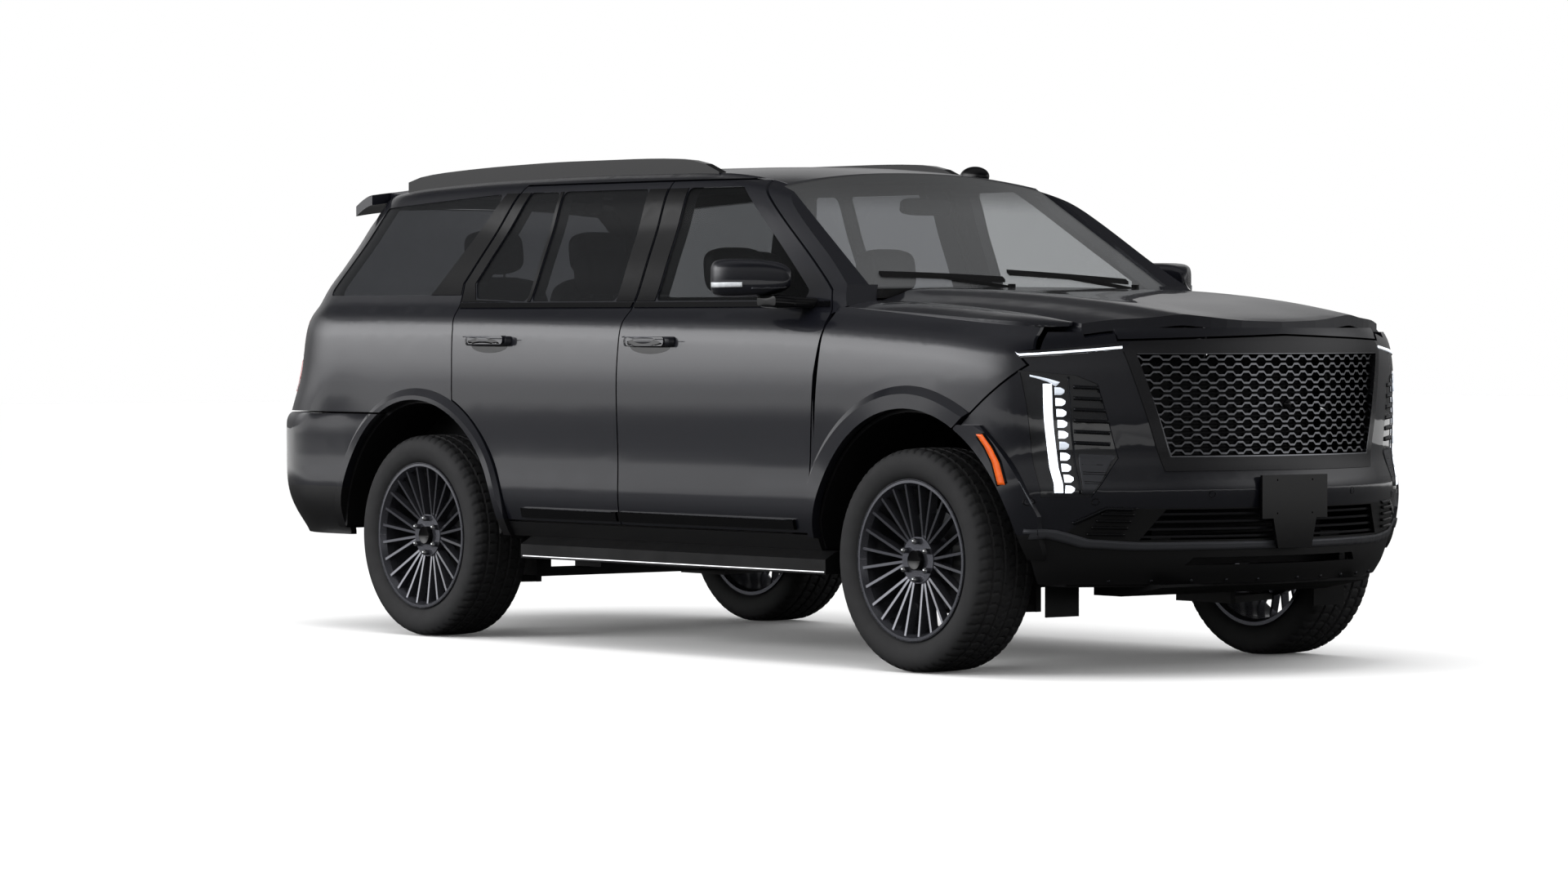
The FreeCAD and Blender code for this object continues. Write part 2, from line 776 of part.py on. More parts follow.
# Nose
nose_level_shares = [0.178, 0.200, 0.240, 0.300, 0.368, 0.40, 0.47, 0.552, 0.617, 0.646, 0.668]
fascia_depth = 28.0


def nose_shell(inset0, inset1):
    levels = [(share * roof_height, nose_half(share * roof_height)) for share in nose_level_shares]
    outer = end_grid(front_x, nose_plan_shares, nose_depth, levels, inset0, -1)
    inner = end_grid(front_x, nose_plan_shares, nose_depth, levels, inset1, -1)
    return shell_between(outer, inner)


grille_half = 650.0
grille_top_half = 618.0
grille_bottom_half = 522.0
grille_shoulder_z = 1179.0
grille_top_z = 1214.0
grille_crown = 19.0
grille_bottom_z = 748.0
grille_outline = [
    (-grille_bottom_half, grille_bottom_z), (grille_bottom_half, grille_bottom_z),
    (grille_half, grille_shoulder_z), (grille_top_half, grille_top_z), (0, grille_top_z + grille_crown),
    (-grille_top_half, grille_top_z), (-grille_half, grille_shoulder_z),
]
skirt_half = 655.0
hood_skirt = [
    (-skirt_half, grille_top_z + panel_gap), (0, grille_top_z + grille_crown + panel_gap),
    (skirt_half, grille_top_z + panel_gap), (skirt_half, fender_tip_z), (-skirt_half, fender_tip_z),
]
grille_rim = 34.0
grille_mesh_bottom = 802.0
grille_mesh_top = 1168.0
grille_mesh = [
    (-grille_bottom_half + 0.8 * grille_rim, grille_mesh_bottom),
    (grille_bottom_half - 0.8 * grille_rim, grille_mesh_bottom),
    (grille_half - 1.2 * grille_rim, grille_mesh_top),
    (-grille_half + 1.2 * grille_rim, grille_mesh_top),
]
lower_grille_half = 600.0
lower_grille_top_half = 520.0
lower_grille_bottom = 500.0
lower_grille_top = 610.0
lower_grille = [
    (-lower_grille_half, lower_grille_bottom), (lower_grille_half, lower_grille_bottom),
    (lower_grille_top_half, lower_grille_top), (-lower_grille_top_half, lower_grille_top),
]
chin_half = 430.0
chin_bottom = 408.0
chin_top = 436.0
chin_slot = [
    (-chin_half, chin_bottom), (chin_half, chin_bottom),
    (chin_half - chin_top + chin_bottom, chin_top), (-chin_half + chin_top - chin_bottom, chin_top),
]
lamp_inner = 672.0
lamp_outer = 945.0
lamp_bottom = 655.0
lamp_top = 1110.0
lamp_shares = [(0, 0.308), (0.359, 0), (0.864, 0), (0.960, 0.758), (1, 1), (0.469, 0.960), (0.231, 0.890)]
lamp_outline = in_box(lamp_shares, lamp_inner, lamp_outer, lamp_bottom, lamp_top)
strip_inner = 640.0
strip_outer = 965.0
strip_bottom = 1150.0
strip_top = 1210.0
strip_shares = [(0.031, 0.6), (1, 0), (1, 0.433), (0, 1)]
lamp_strip = in_box(strip_shares, strip_inner, strip_outer, strip_bottom, strip_top)
lamp_depth = 60.0
bumper_outline = [
    (front_axle, sill_bottom / 2), (length, sill_bottom / 2), (length, fender_tip_z - fender_depth),
    (lamp_corner_x, fender_tip_z - fender_depth), (bumper_cut_top_x - panel_gap, bumper_cut_top_z),
    (bumper_cut_foot_x, bumper_cut_foot_z), (front_axle, upper_turn - panel_gap),
]


def both_ways(points):
    return [points, [(-y, z) for y, z in reversed(points)]]


def through_nose(points):
    """Prism of a front outline through the nose's whole skin."""
    return front_prism(points, 0, bumper_cut_foot_x, length)


front_bumper = nose_shell(0, fascia_depth).common(side_prism(bumper_outline, 0, -length, length))
front_bumper = front_bumper.cut(cross_cylinder(front_axle, arch_height, arch_radius, -length, length))
front_bumper = front_bumper.cut(hood_room).cut(both(across(grown(fender_outline, panel_gap))))
front_bumper = front_bumper.cut(through_nose(grown(hood_skirt, panel_gap)))
front_lip = flare(front_axle, flare_radius, [
    (front_axle, sill_bottom), (length, sill_bottom), (length, bumper_cut_foot_z),
    (bumper_cut_foot_x, bumper_cut_foot_z), (front_axle, upper_turn - panel_gap),
]).common(block(front_axle + arch_radius / 2, length, 0, length, sill_bottom, bumper_cut_top_z))
front_bumper = joined([front_bumper, front_lip, mirrored(front_lip)])
skirt = nose_shell(lap, fascia_depth).common(through_nose(hood_skirt))
hood = joined([hood, skirt])
for opening in [grille_outline, lower_grille, chin_slot] + both_ways(lamp_outline) + both_ways(lamp_strip):
    front_bumper = front_bumper.cut(through_nose(grown(opening, seat_gap)))

# Grille mesh: rows of short level bars joined by slanted ones, each row half a step on from the last
mesh_rows = 13
mesh_front = 8.0
mesh_back = 24.0
wave_length = 70.0
wave_height = 12.0
wave_thick = 7.0
level_share = 0.66


def nose_band(inset0, inset1, z0, z1):
    """Upright band between two insets behind the nose, leaning back as the nose does between two heights."""
    half = grille_half + grille_rim
    points = nose_line(z0, inset0, half) + nose_line(z0, inset1, half)[::-1]
    face = Part.Face(rounded([Vector(x, y, z0) for x, y in points], 0))
    return face.extrude(Vector(front_x(z1) - front_x(z0), 0, z1 - z0))


def wave(z, shift):
    """Outline of one row of the mesh about one height, started a share of its wave further on."""
    steps = 2 * math.ceil(2 * grille_half / wave_length) + 2
    line = []
    for i in range(steps):
        y = -grille_half - wave_length + (i / 2 + shift) * wave_length
        level = z + (wave_height if i % 2 else -wave_height) / 2
        line += [(y, level - wave_thick / 2), (y + level_share * wave_length / 2, level - wave_thick / 2)]
    return line + [(y, level + wave_thick) for y, level in reversed(line)]


grille = nose_shell(-lap, fascia_depth + frame_inset).common(through_nose(grille_outline))
grille = grille.cut(through_nose(grille_mesh))
mesh_band = nose_band(mesh_front, mesh_back, grille_mesh_bottom - lap, grille_mesh_top + lap)
mesh_band = mesh_band.common(through_nose(grown(grille_mesh, lap)))
mesh_pitch = (grille_mesh_top - grille_mesh_bottom) / mesh_rows
rows = []
for i in range(mesh_rows):
    row = through_nose(wave(grille_mesh_bottom + (i + 0.5) * mesh_pitch, i % 2 / 2))
    rows.append(mesh_band.common(row))
grille = joined([grille] + rows)

louvre_count = 4
louvre_pitch = 27.0
louvre_thick = 8.0
louvres = []
for i in range(louvre_count):
    z = lower_grille_bottom + louvre_thick + i * louvre_pitch
    louvres.append(block(bumper_cut_foot_x, length, -grille_half, grille_half, z, z + louvre_thick))
louvres.append(block(bumper_cut_foot_x, length, -frame_inset, frame_inset,
                     lower_grille_bottom, lower_grille_top - seat_gap))
louvre_shell = nose_shell(frame_inset, fascia_depth)
lower_room = through_nose(lower_grille)
lower_bars = joined([louvre_shell.common(bar).common(lower_room) for bar in louvres])
grille = Part.makeCompound(grille.Solids + lower_bars.Solids)

fender_room = across(grown(fender_outline, seat_gap))
lamp = nose_shell(lap, lamp_depth).common(through_nose(lamp_outline)).cut(fender_room)
strip = nose_shell(0, fascia_depth).common(through_nose(lamp_strip)).cut(fender_room)
headlamps = both(Part.makeCompound(lamp.Solids + strip.Solids))

bracket_half = 165.0
bracket_bottom = 573.0
bracket_top = 730.0
bracket_foot_half = 85.0
bracket_waist_half = 110.0
bracket_foot = 465.0
bracket = block(nose + seat_gap, half_length, -bracket_half, bracket_half, bracket_bottom, bracket_top)
bracket = joined([bracket, front_prism([
    (-bracket_foot_half, bracket_foot), (bracket_foot_half, bracket_foot),
    (bracket_waist_half, bracket_bottom + lap), (-bracket_waist_half, bracket_bottom + lap),
], 0, nose + seat_gap, half_length)]).cut(nose_shell(-seat_gap, fascia_depth))

# Shield under the nose, with a flap ahead of each front wheel
shield_rear_x = 2180.0
shield_turn_x = 2327.0
shield_bottom = 289.0
shield_thick = 10.0
shield_half = 760.0
keel_half = 520.0
keel_front_x = 2540.0
shield_inset = 24.0
flap_inner = 600.0
flap_bottom = 215.0
flap_thick = 8.0
shield_top = nose_level_shares[0] * roof_height - seat_gap
shield_plan = nose_line(shield_top, shield_inset, shield_half)
shield_plan += [(shield_rear_x, shield_half), (shield_rear_x, -shield_half)]
keel_profile = [
    (shield_rear_x, shield_bottom), (shield_turn_x, shield_bottom), (keel_front_x, shield_top - shield_thick),
    (keel_front_x, shield_top), (shield_rear_x, shield_top),
]
flap = block(shield_rear_x, shield_rear_x + flap_thick, flap_inner, shield_half, flap_bottom, shield_top)
undershield = joined([
    plan_prism(shield_plan, 0, shield_top - shield_thick, shield_top),
    side_prism(keel_profile, 0, -keel_half, keel_half), flap, mirrored(flap),
])

# Cover over the radiator, under the hood's front edge
cover_thick = 8.0
cover_top = 1196.0
cover_rear_x = 2290.0
cover_half = 600.0
cover_plan = nose_line(cover_top, fascia_depth + 2 * frame_inset, cover_half)
cover_plan += [(cover_rear_x, cover_half), (cover_rear_x, -cover_half)]
nose_cover = plan_prism(cover_plan, 0, cover_top - cover_thick, cover_top)

# Tail
tail_level_shares = [0.210, 0.235, 0.270, 0.315, 0.365, 0.41, 0.445, 0.475]
gate_level_shares = [0.477, 0.504, 0.56, 0.62, 0.680, 0.713, 0.75, 0.80, 0.86, 0.90, 0.93]


def tail_shell(level_shares, inset0, inset1):
    levels = [(share * roof_height, section_half(share * roof_height)) for share in level_shares]
    plan = tail_plan_shares + [(1.25, 1), (1.5, 1), (1.8, 1), (2.1, 1), (2.35, 1)]
    outer = end_grid(rear_x, plan, tail_depth, levels, inset0, 1)
    inner = end_grid(rear_x, plan, tail_depth, levels, inset1, 1)
    return shell_between(outer, inner)


rear_bumper = tail_shell(tail_level_shares, 0, fascia_depth).common(upright(0, bumper_top_rear))
rear_bumper = rear_bumper.cut(cross_cylinder(rear_axle, arch_height, arch_radius, -length, length))
bumper_arch = [
    (-half_length, tail_level_shares[0] * roof_height), (rear_axle, tail_level_shares[0] * roof_height),
    (rear_axle, bumper_top_rear), (-half_length, bumper_top_rear),
]
bumper_lip = flare(rear_axle, door_arch_radius - panel_gap, bumper_arch)
rear_bumper = joined([rear_bumper, bumper_lip, mirrored(bumper_lip)])
gate_prism = front_prism(gate_outline, 0, -length, gate_front_x)
gate_skin = tail_shell(gate_level_shares, 0, gate_depth).common(gate_prism)
spoiler_reach = 236.0
spoiler_sweep = 118.0
spoiler_drop = 46.0
spoiler_thick = 42.0
spoiler_grid = []
for u in (0, 0.25, 0.5, 0.75, 1):
    row = []
    for share in cross_shares:
        y = share * (gate_top_half - seat_gap)
        reach = spoiler_reach - spoiler_sweep * share ** 2
        x = gate_front_x - seat_gap - u * reach
        row.append(Vector(x, y, roof_z(gate_front_x, y) - spoiler_drop * u ** 1.5))
    spoiler_grid.append(row)
spoiler = skin(spoiler_grid).extrude(Vector(0, 0, -spoiler_thick))
gate_window_front = gate_front_x - spoiler_reach / 4
gate_opening = front_prism(gate_window, frame_inset * 3, -length, gate_window_front)
liftgate = joined([gate_skin.cut(gate_opening), moved(spoiler, -panel_gap, 0, 0)])
gate_glass_room = front_prism(grown(gate_window, -seat_gap), frame_inset * 3,
                              -length, gate_window_front - seat_gap)
gate_glass = tail_shell(gate_level_shares, glass, 2 * glass).common(gate_glass_room)
for drop in (0, -seat_gap):
    gate_glass = gate_glass.cut(moved(spoiler, -panel_gap, 0, drop))

# Hinges of the doors, hood and liftgate
hinge_half = 1008.0
front_hinge_x = 1110.0
rear_hinge_x = -20.0
door_tip_radius = 124.0
handle_length = 235.0
handle_height = 34.0
handle_stand = 14.0
handle_proud = 38.0
front_handle_x = 68.0
rear_handle_x = -972.0
handle_z = 1192.0


def handle(x, z):
    """Pull handle on two posts, following the door's skin."""
    bar = side_prism([
        (x, z), (x + handle_length, z), (x + handle_length, z + handle_height), (x, z + handle_height),
    ], handle_height * 0.4, 0, length)
    grip = layer(side_face, -handle_proud, -handle_stand).common(bar)
    post_reach = handle_length / 6
    posts = []
    for start in (x + handle_height / 4, x + handle_length - post_reach - handle_height / 4):
        post = block(start, start + post_reach, 0, length, z + handle_height / 4, z + handle_height * 0.75)
        posts.append(layer(side_face, -handle_stand - lap, lap).common(post))
    return joined([grip] + posts)


front_door = joined([front_door, handle(front_handle_x, handle_z)])
rear_door = joined([rear_door, handle(rear_handle_x, handle_z + lap)])
tip_room = Part.makeCylinder(door_tip_radius, pillar_foot_z, Vector(front_hinge_x, hinge_half, fender_bottom))
pillar_guard = layer(side_face, skin_depth + behind_skin - 2 * lap, 2 * door_tip_radius)
body_side_left = body_side_left.cut(tip_room.common(pillar_guard))

# Mirrors on the front doors, as (x, y) corners
mirror_tip = 1208.0
mirror_inner = 985.0
mirror_rear_x = 765.0
mirror_front_x = 1045.0
mirror_bottom = 1376.0
mirror_top = 1522.0
mirror_arm_height = 44.0
mirror_round = 22.0
mirror_arm_width = 150.0
mirror_arm_sweep = 40.0
mirror_arm_outer = 1080.0
mirror_arm_inner = 917.0
mirror_plan_shares = [
    (0, 0.07), (0, 0.75), (0.11, 0.97), (0.26, 1), (0.57, 0.80), (1, 0.20), (1, 0), (0.49, 0),
]
mirror_face_shares = [
    (0, 0), (0.70, 0), (0.96, 0.13), (1, 0.36), (0.93, 0.74), (0.72, 0.95), (0.35, 1), (0, 0.93),
]
mirror_plan = in_box(mirror_plan_shares, mirror_rear_x, mirror_front_x, mirror_inner, mirror_tip)
mirror_face = in_box(mirror_face_shares, mirror_inner, mirror_tip, mirror_bottom, mirror_top)
mirror_head = plan_prism(mirror_plan, mirror_round, mirror_bottom, mirror_top)
mirror_head = mirror_head.common(front_prism(mirror_face, 2 * mirror_round, mirror_rear_x, mirror_front_x))
mirror_arm_plan = [
    (mirror_front_x - mirror_arm_width, mirror_arm_outer), (mirror_front_x, mirror_arm_outer),
    (mirror_front_x + mirror_arm_sweep, mirror_arm_inner),
    (mirror_front_x + mirror_arm_sweep - mirror_arm_width / 2, mirror_arm_inner),
]
mirror_arm = plan_prism(mirror_arm_plan, 0, mirror_bottom - mirror_arm_height, mirror_bottom + lap)
mirror_left = joined([mirror_head, mirror_arm.cut(layer(side_face, 0, door_depth))])

# Glass
front_glass = pane(front_window)
rear_glass = Part.makeCompound([pane(rear_window), pane(small_window)])
quarter_glass = both(pane(quarter_window))

# Wheels, about the centre of a left wheel
rim_lip = 298.0
rim_width = 250.0
bead_radius = 286.0
bead_half = 112.0
sidewall_radius = 352.0
shoulder_radius = 398.0
shoulder_half_width = 124.0
tread_half = 96.0
barrel_radius = 272.0
barrel_lip = 284.0
hub_radius = 86.0
hub_face = 88.0
hub_back = -60.0
spoke_back = 42.0
spoke_rim_face = 116.0
spoke_rim_back = 84.0
spoke_width = 10.0
spoke_groups = 6
spoke_angles = [(-12.0, -22.5), (-5.0, -7.5), (5.0, 7.5), (12.0, 22.5)]
lug_circle = 69.85
lug_radius = 11.0
lug_height = 16.0
cap_radius = 36.0
disc_radius = 185.0
disc_back = -25.0
disc_front = 0.0
spindle_radius = 25.0
carrier_face = -66.0
carrier_back = -130.0


def revolved(profile):
    """Solid of (radius, across) corners turned about the wheel's axis."""
    wire = Part.makePolygon([Vector(r, y, 0) for r, y in profile + profile[:1]])
    return Part.Face(wire).revolve(Vector(0, 0, 0), Vector(0, 1, 0), 360)


def tyre():
    half = [
        (bead_radius, bead_half), (sidewall_radius, tyre_width / 2),
        (shoulder_radius, shoulder_half_width), (tyre_radius, tread_half),
    ]
    return revolved(half + [(r, -y) for r, y in reversed(half)])


def wheel_disc(radius, back, face):
    return cross_cylinder(0, 0, radius, back, face)


def spokes():
    """Thin spokes that fan out from the hub to the rim, cut to the wheel's dished section."""
    section = revolved([
        (hub_radius - 2 * lap, hub_face - lap), (barrel_lip - lap, spoke_rim_face),
        (barrel_lip - lap, spoke_rim_back), (hub_radius - 2 * lap, spoke_back),
    ])
    bars = []
    for group in range(spoke_groups):
        for at_hub, at_rim in spoke_angles:
            turn = 360 / spoke_groups * group
            a, b = math.radians(turn + at_hub), math.radians(turn + at_rim)
            start = Vector(math.cos(a), 0, math.sin(a)) * (hub_radius - 2 * lap)
            end = Vector(math.cos(b), 0, math.sin(b)) * rim_lip
            run = end - start
            side = Vector(-run.z, 0, run.x).normalize() * (spoke_width / 2)
            corners = [start - side, end - side, end + side, start + side, start - side]
            bars.append(Part.Face(Part.makePolygon(corners)).extrude(Vector(0, tyre_width, 0)))
    return joined([bar.common(section) for bar in bars])


def rim():
    half = [
        (rim_lip, rim_width / 2), (rim_lip, bead_half + 1.5 * lap), (bead_radius - seat_gap, bead_half + lap)
    ]
    inside = [(barrel_lip, -rim_width / 2), (barrel_radius, -rim_width / 2 + 5 * lap)]
    inside += [(barrel_radius, rim_width / 2 - 6 * lap), (barrel_lip, rim_width / 2)]
    barrel = revolved(half + [(r, -y) for r, y in reversed(half)] + inside)
    parts = [barrel, spokes(), wheel_disc(hub_radius, hub_back, hub_face)]
    parts.append(wheel_disc(disc_radius, disc_back, disc_front))
    parts.append(wheel_disc(cap_radius, hub_face - lap, hub_face + 2 * lap))
    for i in range(spoke_groups):
        angle = math.radians(360 / spoke_groups * (i + 0.5))
        x, z = lug_circle * math.cos(angle), lug_circle * math.sin(angle)
        parts.append(cross_cylinder(x, z, lug_radius, hub_face - lap, hub_face + lug_height))
    wheel = joined(parts)
    return wheel.cut(wheel_disc(spindle_radius + seat_gap, 2 * hub_back, spoke_back))


wheel_tyre = tyre()
wheel_rim = rim()
front_left_hub = Vector(front_axle, front_track / 2, tyre_radius)
rear_left_hub = Vector(rear_axle, rear_track / 2, tyre_radius)

# Wheel carriers, about the centre of a left wheel: the upright, the spindle and the brake caliper
kingpin_half = 785.0
joint_rise = 172.0
upright_half = 38.0
upright_depth = 34.0
caliper_inner = 120.0
caliper_outer = 216.0
caliper_half = 58.0
caliper_front = 22.0
caliper_back = -70.0
brake_clearance = 6.0


def carrier():
    upright_y = kingpin_half - front_track / 2
    parts = [
        block(-upright_half, upright_half, upright_y - upright_depth / 2, upright_y + upright_depth / 2,
              -joint_rise, joint_rise),
        wheel_disc(1.5 * upright_half, carrier_back, carrier_face),
        wheel_disc(spindle_radius, carrier_face - lap, spoke_back - 2 * lap),
        block(upright_half / 2, caliper_outer, upright_y - upright_depth / 2, carrier_face,
              -0.7 * caliper_half, 0.7 * caliper_half),
        block(caliper_inner, caliper_outer, caliper_back, caliper_front, -caliper_half, caliper_half),
    ]
    slot = wheel_disc(
        disc_radius + brake_clearance, disc_back - brake_clearance, disc_front + brake_clearance
    )
    return joined(parts).cut(slot.cut(wheel_disc(spindle_radius + lap, disc_back * 2, brake_clearance * 2)))


def placed(shape, at):
    return moved(shape, at.x, at.y, at.z)


knuckle_left = placed(carrier(), front_left_hub)

# Chassis
rail_inner = 380.0
rail_outer = 480.0
rail_bottom = 380.0
rail_top = 510.0
rail_front_x = 2440.0
rail_rear_x = -2470.0
kick_bottom = 500.0
kick_top = 620.0
kick_front_x = -860.0
kick_slope = 200.0
kick_rear_x = -1900.0
tail_rail_bottom = 470.0
tail_rail_top = 590.0
member_half = 50.0
member_bottom = 400.0
member_top = 480.0
member_shares = (0.416, 0.093, -0.2155)
rail_profile = [
    (rail_front_x, rail_bottom), (rail_front_x, rail_top), (kick_front_x, rail_top),
    (kick_front_x - kick_slope, kick_top), (kick_rear_x, kick_top), (kick_rear_x - kick_slope, tail_rail_top),
    (rail_rear_x, tail_rail_top), (rail_rear_x, tail_rail_bottom),
    (kick_rear_x - kick_slope, tail_rail_bottom),
    (kick_rear_x, kick_bottom), (kick_front_x - kick_slope, kick_bottom), (kick_front_x, rail_bottom),
]
rail = side_prism(rail_profile, 0, rail_inner, rail_outer)
member_places = [rail_front_x - member_half] + [share * half_length for share in member_shares]
members = [
    block(x - member_half, x + member_half, -rail_inner - lap, rail_inner + lap, member_bottom, member_top)
    for x in member_places
]
members.append(block(rail_rear_x, rail_rear_x + 2 * member_half, -rail_inner - lap, rail_inner + lap,
                     tail_rail_bottom, tail_rail_top))
receiver_half = 32.0
receiver_bore = 50.8
receiver_length = 180.0
receiver_z = 362.0
receiver_rear = rail_rear_x - member_half
receiver = joined([
    block(receiver_rear, receiver_rear + receiver_length, -receiver_half, receiver_half,
          receiver_z - receiver_half, receiver_z + receiver_half),
    block(rail_rear_x, rail_rear_x + 2 * member_half, -receiver_half, receiver_half,
          receiver_z, tail_rail_bottom + lap),
])
receiver = receiver.cut(block(receiver_rear - lap, receiver_rear + receiver_length + lap,
                              -receiver_bore / 2, receiver_bore / 2,
                              receiver_z - receiver_bore / 2, receiver_z + receiver_bore / 2))
chassis_frame = joined([rail, mirrored(rail), receiver] + members)

engine_front_x = 2050.0
engine_rear_x = 1370.0
engine_half = 300.0
engine_bottom = 486.0
engine_top = 1020.0
mount_thick = 50.0
engine = joined([
    block(engine_rear_x, engine_front_x, -engine_half, engine_half, engine_bottom, engine_top),
    block(front_axle - member_half, front_axle + member_half, -rail_outer, rail_outer,
          rail_top + seat_gap, rail_top + mount_thick),
])

radiator_half = 430.0
radiator_top = 1150.0
radiator = block(rail_front_x - 2 * member_half, rail_front_x - member_half, -radiator_half, radiator_half,
                 rail_top + seat_gap, radiator_top)

# Suspension arms: lower and upper, from a side plate on each cross member
arm_thick = 26.0
arm_root_half = 150.0
arm_tip_half = 35.0
tower_inner = 485.0
tower_outer = 510.0
cross_half = 90.0
cross_bottom = 300.0


def arm(axle_x, z0, z1, root_half):
    points = [
        (axle_x - root_half, tower_inner), (axle_x + root_half, tower_inner),
        (axle_x + arm_tip_half, kingpin_half + arm_tip_half),
        (axle_x - arm_tip_half, kingpin_half + arm_tip_half),
    ]
    return plan_prism(points, 0, z0, z1)


lower_joint = tyre_radius - joint_rise - seat_gap
upper_joint = tyre_radius + joint_rise + seat_gap
front_side = joined([
    arm(front_axle, lower_joint - arm_thick, lower_joint, arm_root_half),
    arm(front_axle, upper_joint, upper_joint + arm_thick, 0.75 * arm_root_half),
    block(front_axle - arm_root_half, front_axle + arm_root_half, tower_inner, tower_outer,
          lower_joint - arm_thick, rail_top),
    block(front_axle - 0.75 * arm_root_half, front_axle + 0.75 * arm_root_half, tower_inner, tower_outer,
          rail_top - lap, upper_joint + arm_thick),
])
front_suspension = joined([
    front_side, mirrored(front_side),
    block(front_axle - cross_half, front_axle + cross_half, -tower_inner - lap, tower_inner + lap,
          cross_bottom, rail_bottom - seat_gap),
])

half_shaft_radius = 22.0
diff_half = 130.0
diff_bottom = 330.0
diff_top = 496.0
subframe_bottom = 232.0
subframe_top = 262.0
rear_carrier = placed(carrier(), rear_left_hub)
post_inner = 390.0
post_outer = 470.0
rear_side = joined([
    rear_carrier,
    arm(rear_axle, lower_joint - arm_thick, lower_joint + 2 * seat_gap, arm_root_half),
    arm(rear_axle, upper_joint - 2 * seat_gap, upper_joint + arm_thick, 0.75 * arm_root_half),
    block(rear_axle - arm_root_half, rear_axle + arm_root_half, tower_inner, tower_outer,
          lower_joint - arm_thick, upper_joint + arm_thick),
    cross_cylinder(rear_axle, tyre_radius, half_shaft_radius, diff_half - lap, kingpin_half),
    block(rear_axle - cross_half, rear_axle + cross_half, post_inner, post_outer, subframe_bottom,
          kick_bottom - seat_gap),
])
rear_suspension = joined([
    rear_side, mirrored(rear_side),
    block(rear_axle - cross_half, rear_axle + cross_half, -tower_inner - lap, tower_inner + lap,
          subframe_bottom, subframe_top),
    block(rear_axle - cross_half, rear_axle + cross_half, -diff_half, diff_half, subframe_bottom, diff_top),
])

pipe_radius = 32.0
pipe_y = -250.0
pipe_z = 326.0
pipe_front_x = 1280.0
pipe_rear_x = -2400.0
muffler_front_x = -330.0
muffler_rear_x = -980.0
muffler_half = 105.0
exhaust = joined([
    Part.makeCylinder(pipe_radius, pipe_front_x - pipe_rear_x,
                      Vector(pipe_rear_x, pipe_y, pipe_z), Vector(1, 0, 0)),
    block(muffler_rear_x, muffler_front_x, pipe_y - muffler_half, pipe_y + muffler_half,
          cross_bottom - 2 * lap, member_bottom - seat_gap),
])

# Floor, wheel house liners and firewall
floor_thick = 24.0
floor_half = 868.0
floor_front_x = 1170.0
floor_bottom = door_bottom + door_inset - door_clearance + seat_gap
rear_floor_bottom = kick_top + seat_gap
step_x = -824.0
wheelhouse_half = 700.0
floor_rear_x = -2440.0
rear_floor_half = 826.0
liner_thick = 14.0
liner_room = arch_radius + door_clearance
floor_main = block(step_x, floor_front_x, -floor_half, floor_half, floor_bottom, floor_bottom + floor_thick)
rear_floor = block(floor_rear_x, step_x, -rear_floor_half, rear_floor_half,
                   rear_floor_bottom, rear_floor_bottom + floor_thick)
step = block(step_x - floor_thick, step_x + floor_thick / 2, -wheelhouse_half, wheelhouse_half,
             floor_bottom, rear_floor_bottom + floor_thick)
wheelhouse_room = block(rear_axle - liner_room, step_x + lap, wheelhouse_half, length, 0, roof_height)
rear_floor = rear_floor.cut(wheelhouse_room).cut(mirrored(wheelhouse_room))
pad_shares = (0.334, 0, -0.223)
pads = []
for share in pad_shares:
    x = share * half_length
    for side in (-1, 1):
        y = side * (rail_inner + rail_outer) / 2
        pads.append(Part.makeCylinder(member_half * 0.8, floor_bottom - rail_top + lap,
                                      Vector(x, y, rail_top + seat_gap)))
floor_pan = joined([floor_main, rear_floor, step] + pads)
for axle_x, inner_half in ((front_axle, tower_outer), (rear_axle, wheelhouse_half)):
    house = cross_cylinder(axle_x, arch_height, arch_radius + seat_gap, inner_half, length)
    floor_pan = floor_pan.cut(house).cut(mirrored(house))


def inside_walls(shape):
    """What is left of a shape between the two body sides."""
    wall = layer(side_face, -overrun, wall_depth + seat_gap)
    return max(shape.cut(wall).cut(mirrored(wall)).Solids, key=lambda piece: piece.Volume)


floor_pan = inside_walls(floor_pan)
liner_outer_half = 984.0


def liner(axle_x, inner_half):
    """Half-round shell over a wheel, from the chassis side to the arch."""
    ring = cross_cylinder(axle_x, arch_height, arch_radius - seat_gap, inner_half, liner_outer_half)
    ring = ring.cut(cross_cylinder(axle_x, arch_height, arch_radius - liner_thick, 0, length))
    return ring.common(upright(sill_bottom + panel_gap, roof_height))


rear_liner = liner(rear_axle, wheelhouse_half + seat_gap)
rear_wall = cross_cylinder(rear_axle, arch_height, arch_radius - seat_gap, wheelhouse_half - liner_thick,
                           wheelhouse_half + lap)
rear_wall = rear_wall.common(upright(rear_floor_bottom + floor_thick + seat_gap, roof_height))
front_liner = liner(front_axle, tower_outer + 2 * lap)
front_liner = front_liner.cut(layer(side_face, -overrun, fender_depth + seat_gap))
front_liner = max(front_liner.Solids, key=lambda piece: piece.Volume)
rear_house = joined([rear_liner, rear_wall])
wheel_liners = Part.makeCompound([front_liner, mirrored(front_liner), rear_house, mirrored(rear_house)])

firewall_half = 832.0
firewall_x = 1180.0
firewall_thick = 20.0
cowl_height = 30.0
cowl_half = windshield_base_half - seat_gap
cowl_top = windshield_base_z - glass - 0.1 * windshield_crown - 2 * seat_gap
firewall = joined([
    block(firewall_x, firewall_x + firewall_thick, -firewall_half, firewall_half,
          floor_bottom + floor_thick + seat_gap - 2 * floor_thick, cowl_top - cowl_height),
    block(
        firewall_x, hood_rear_x - 2 * panel_gap, -cowl_half, cowl_half,
        cowl_top - cowl_height - lap, cowl_top
    ),
])

front_house = cross_cylinder(front_axle, arch_height, arch_radius + seat_gap, -length, length)
firewall = inside_walls(firewall.cut(front_house))

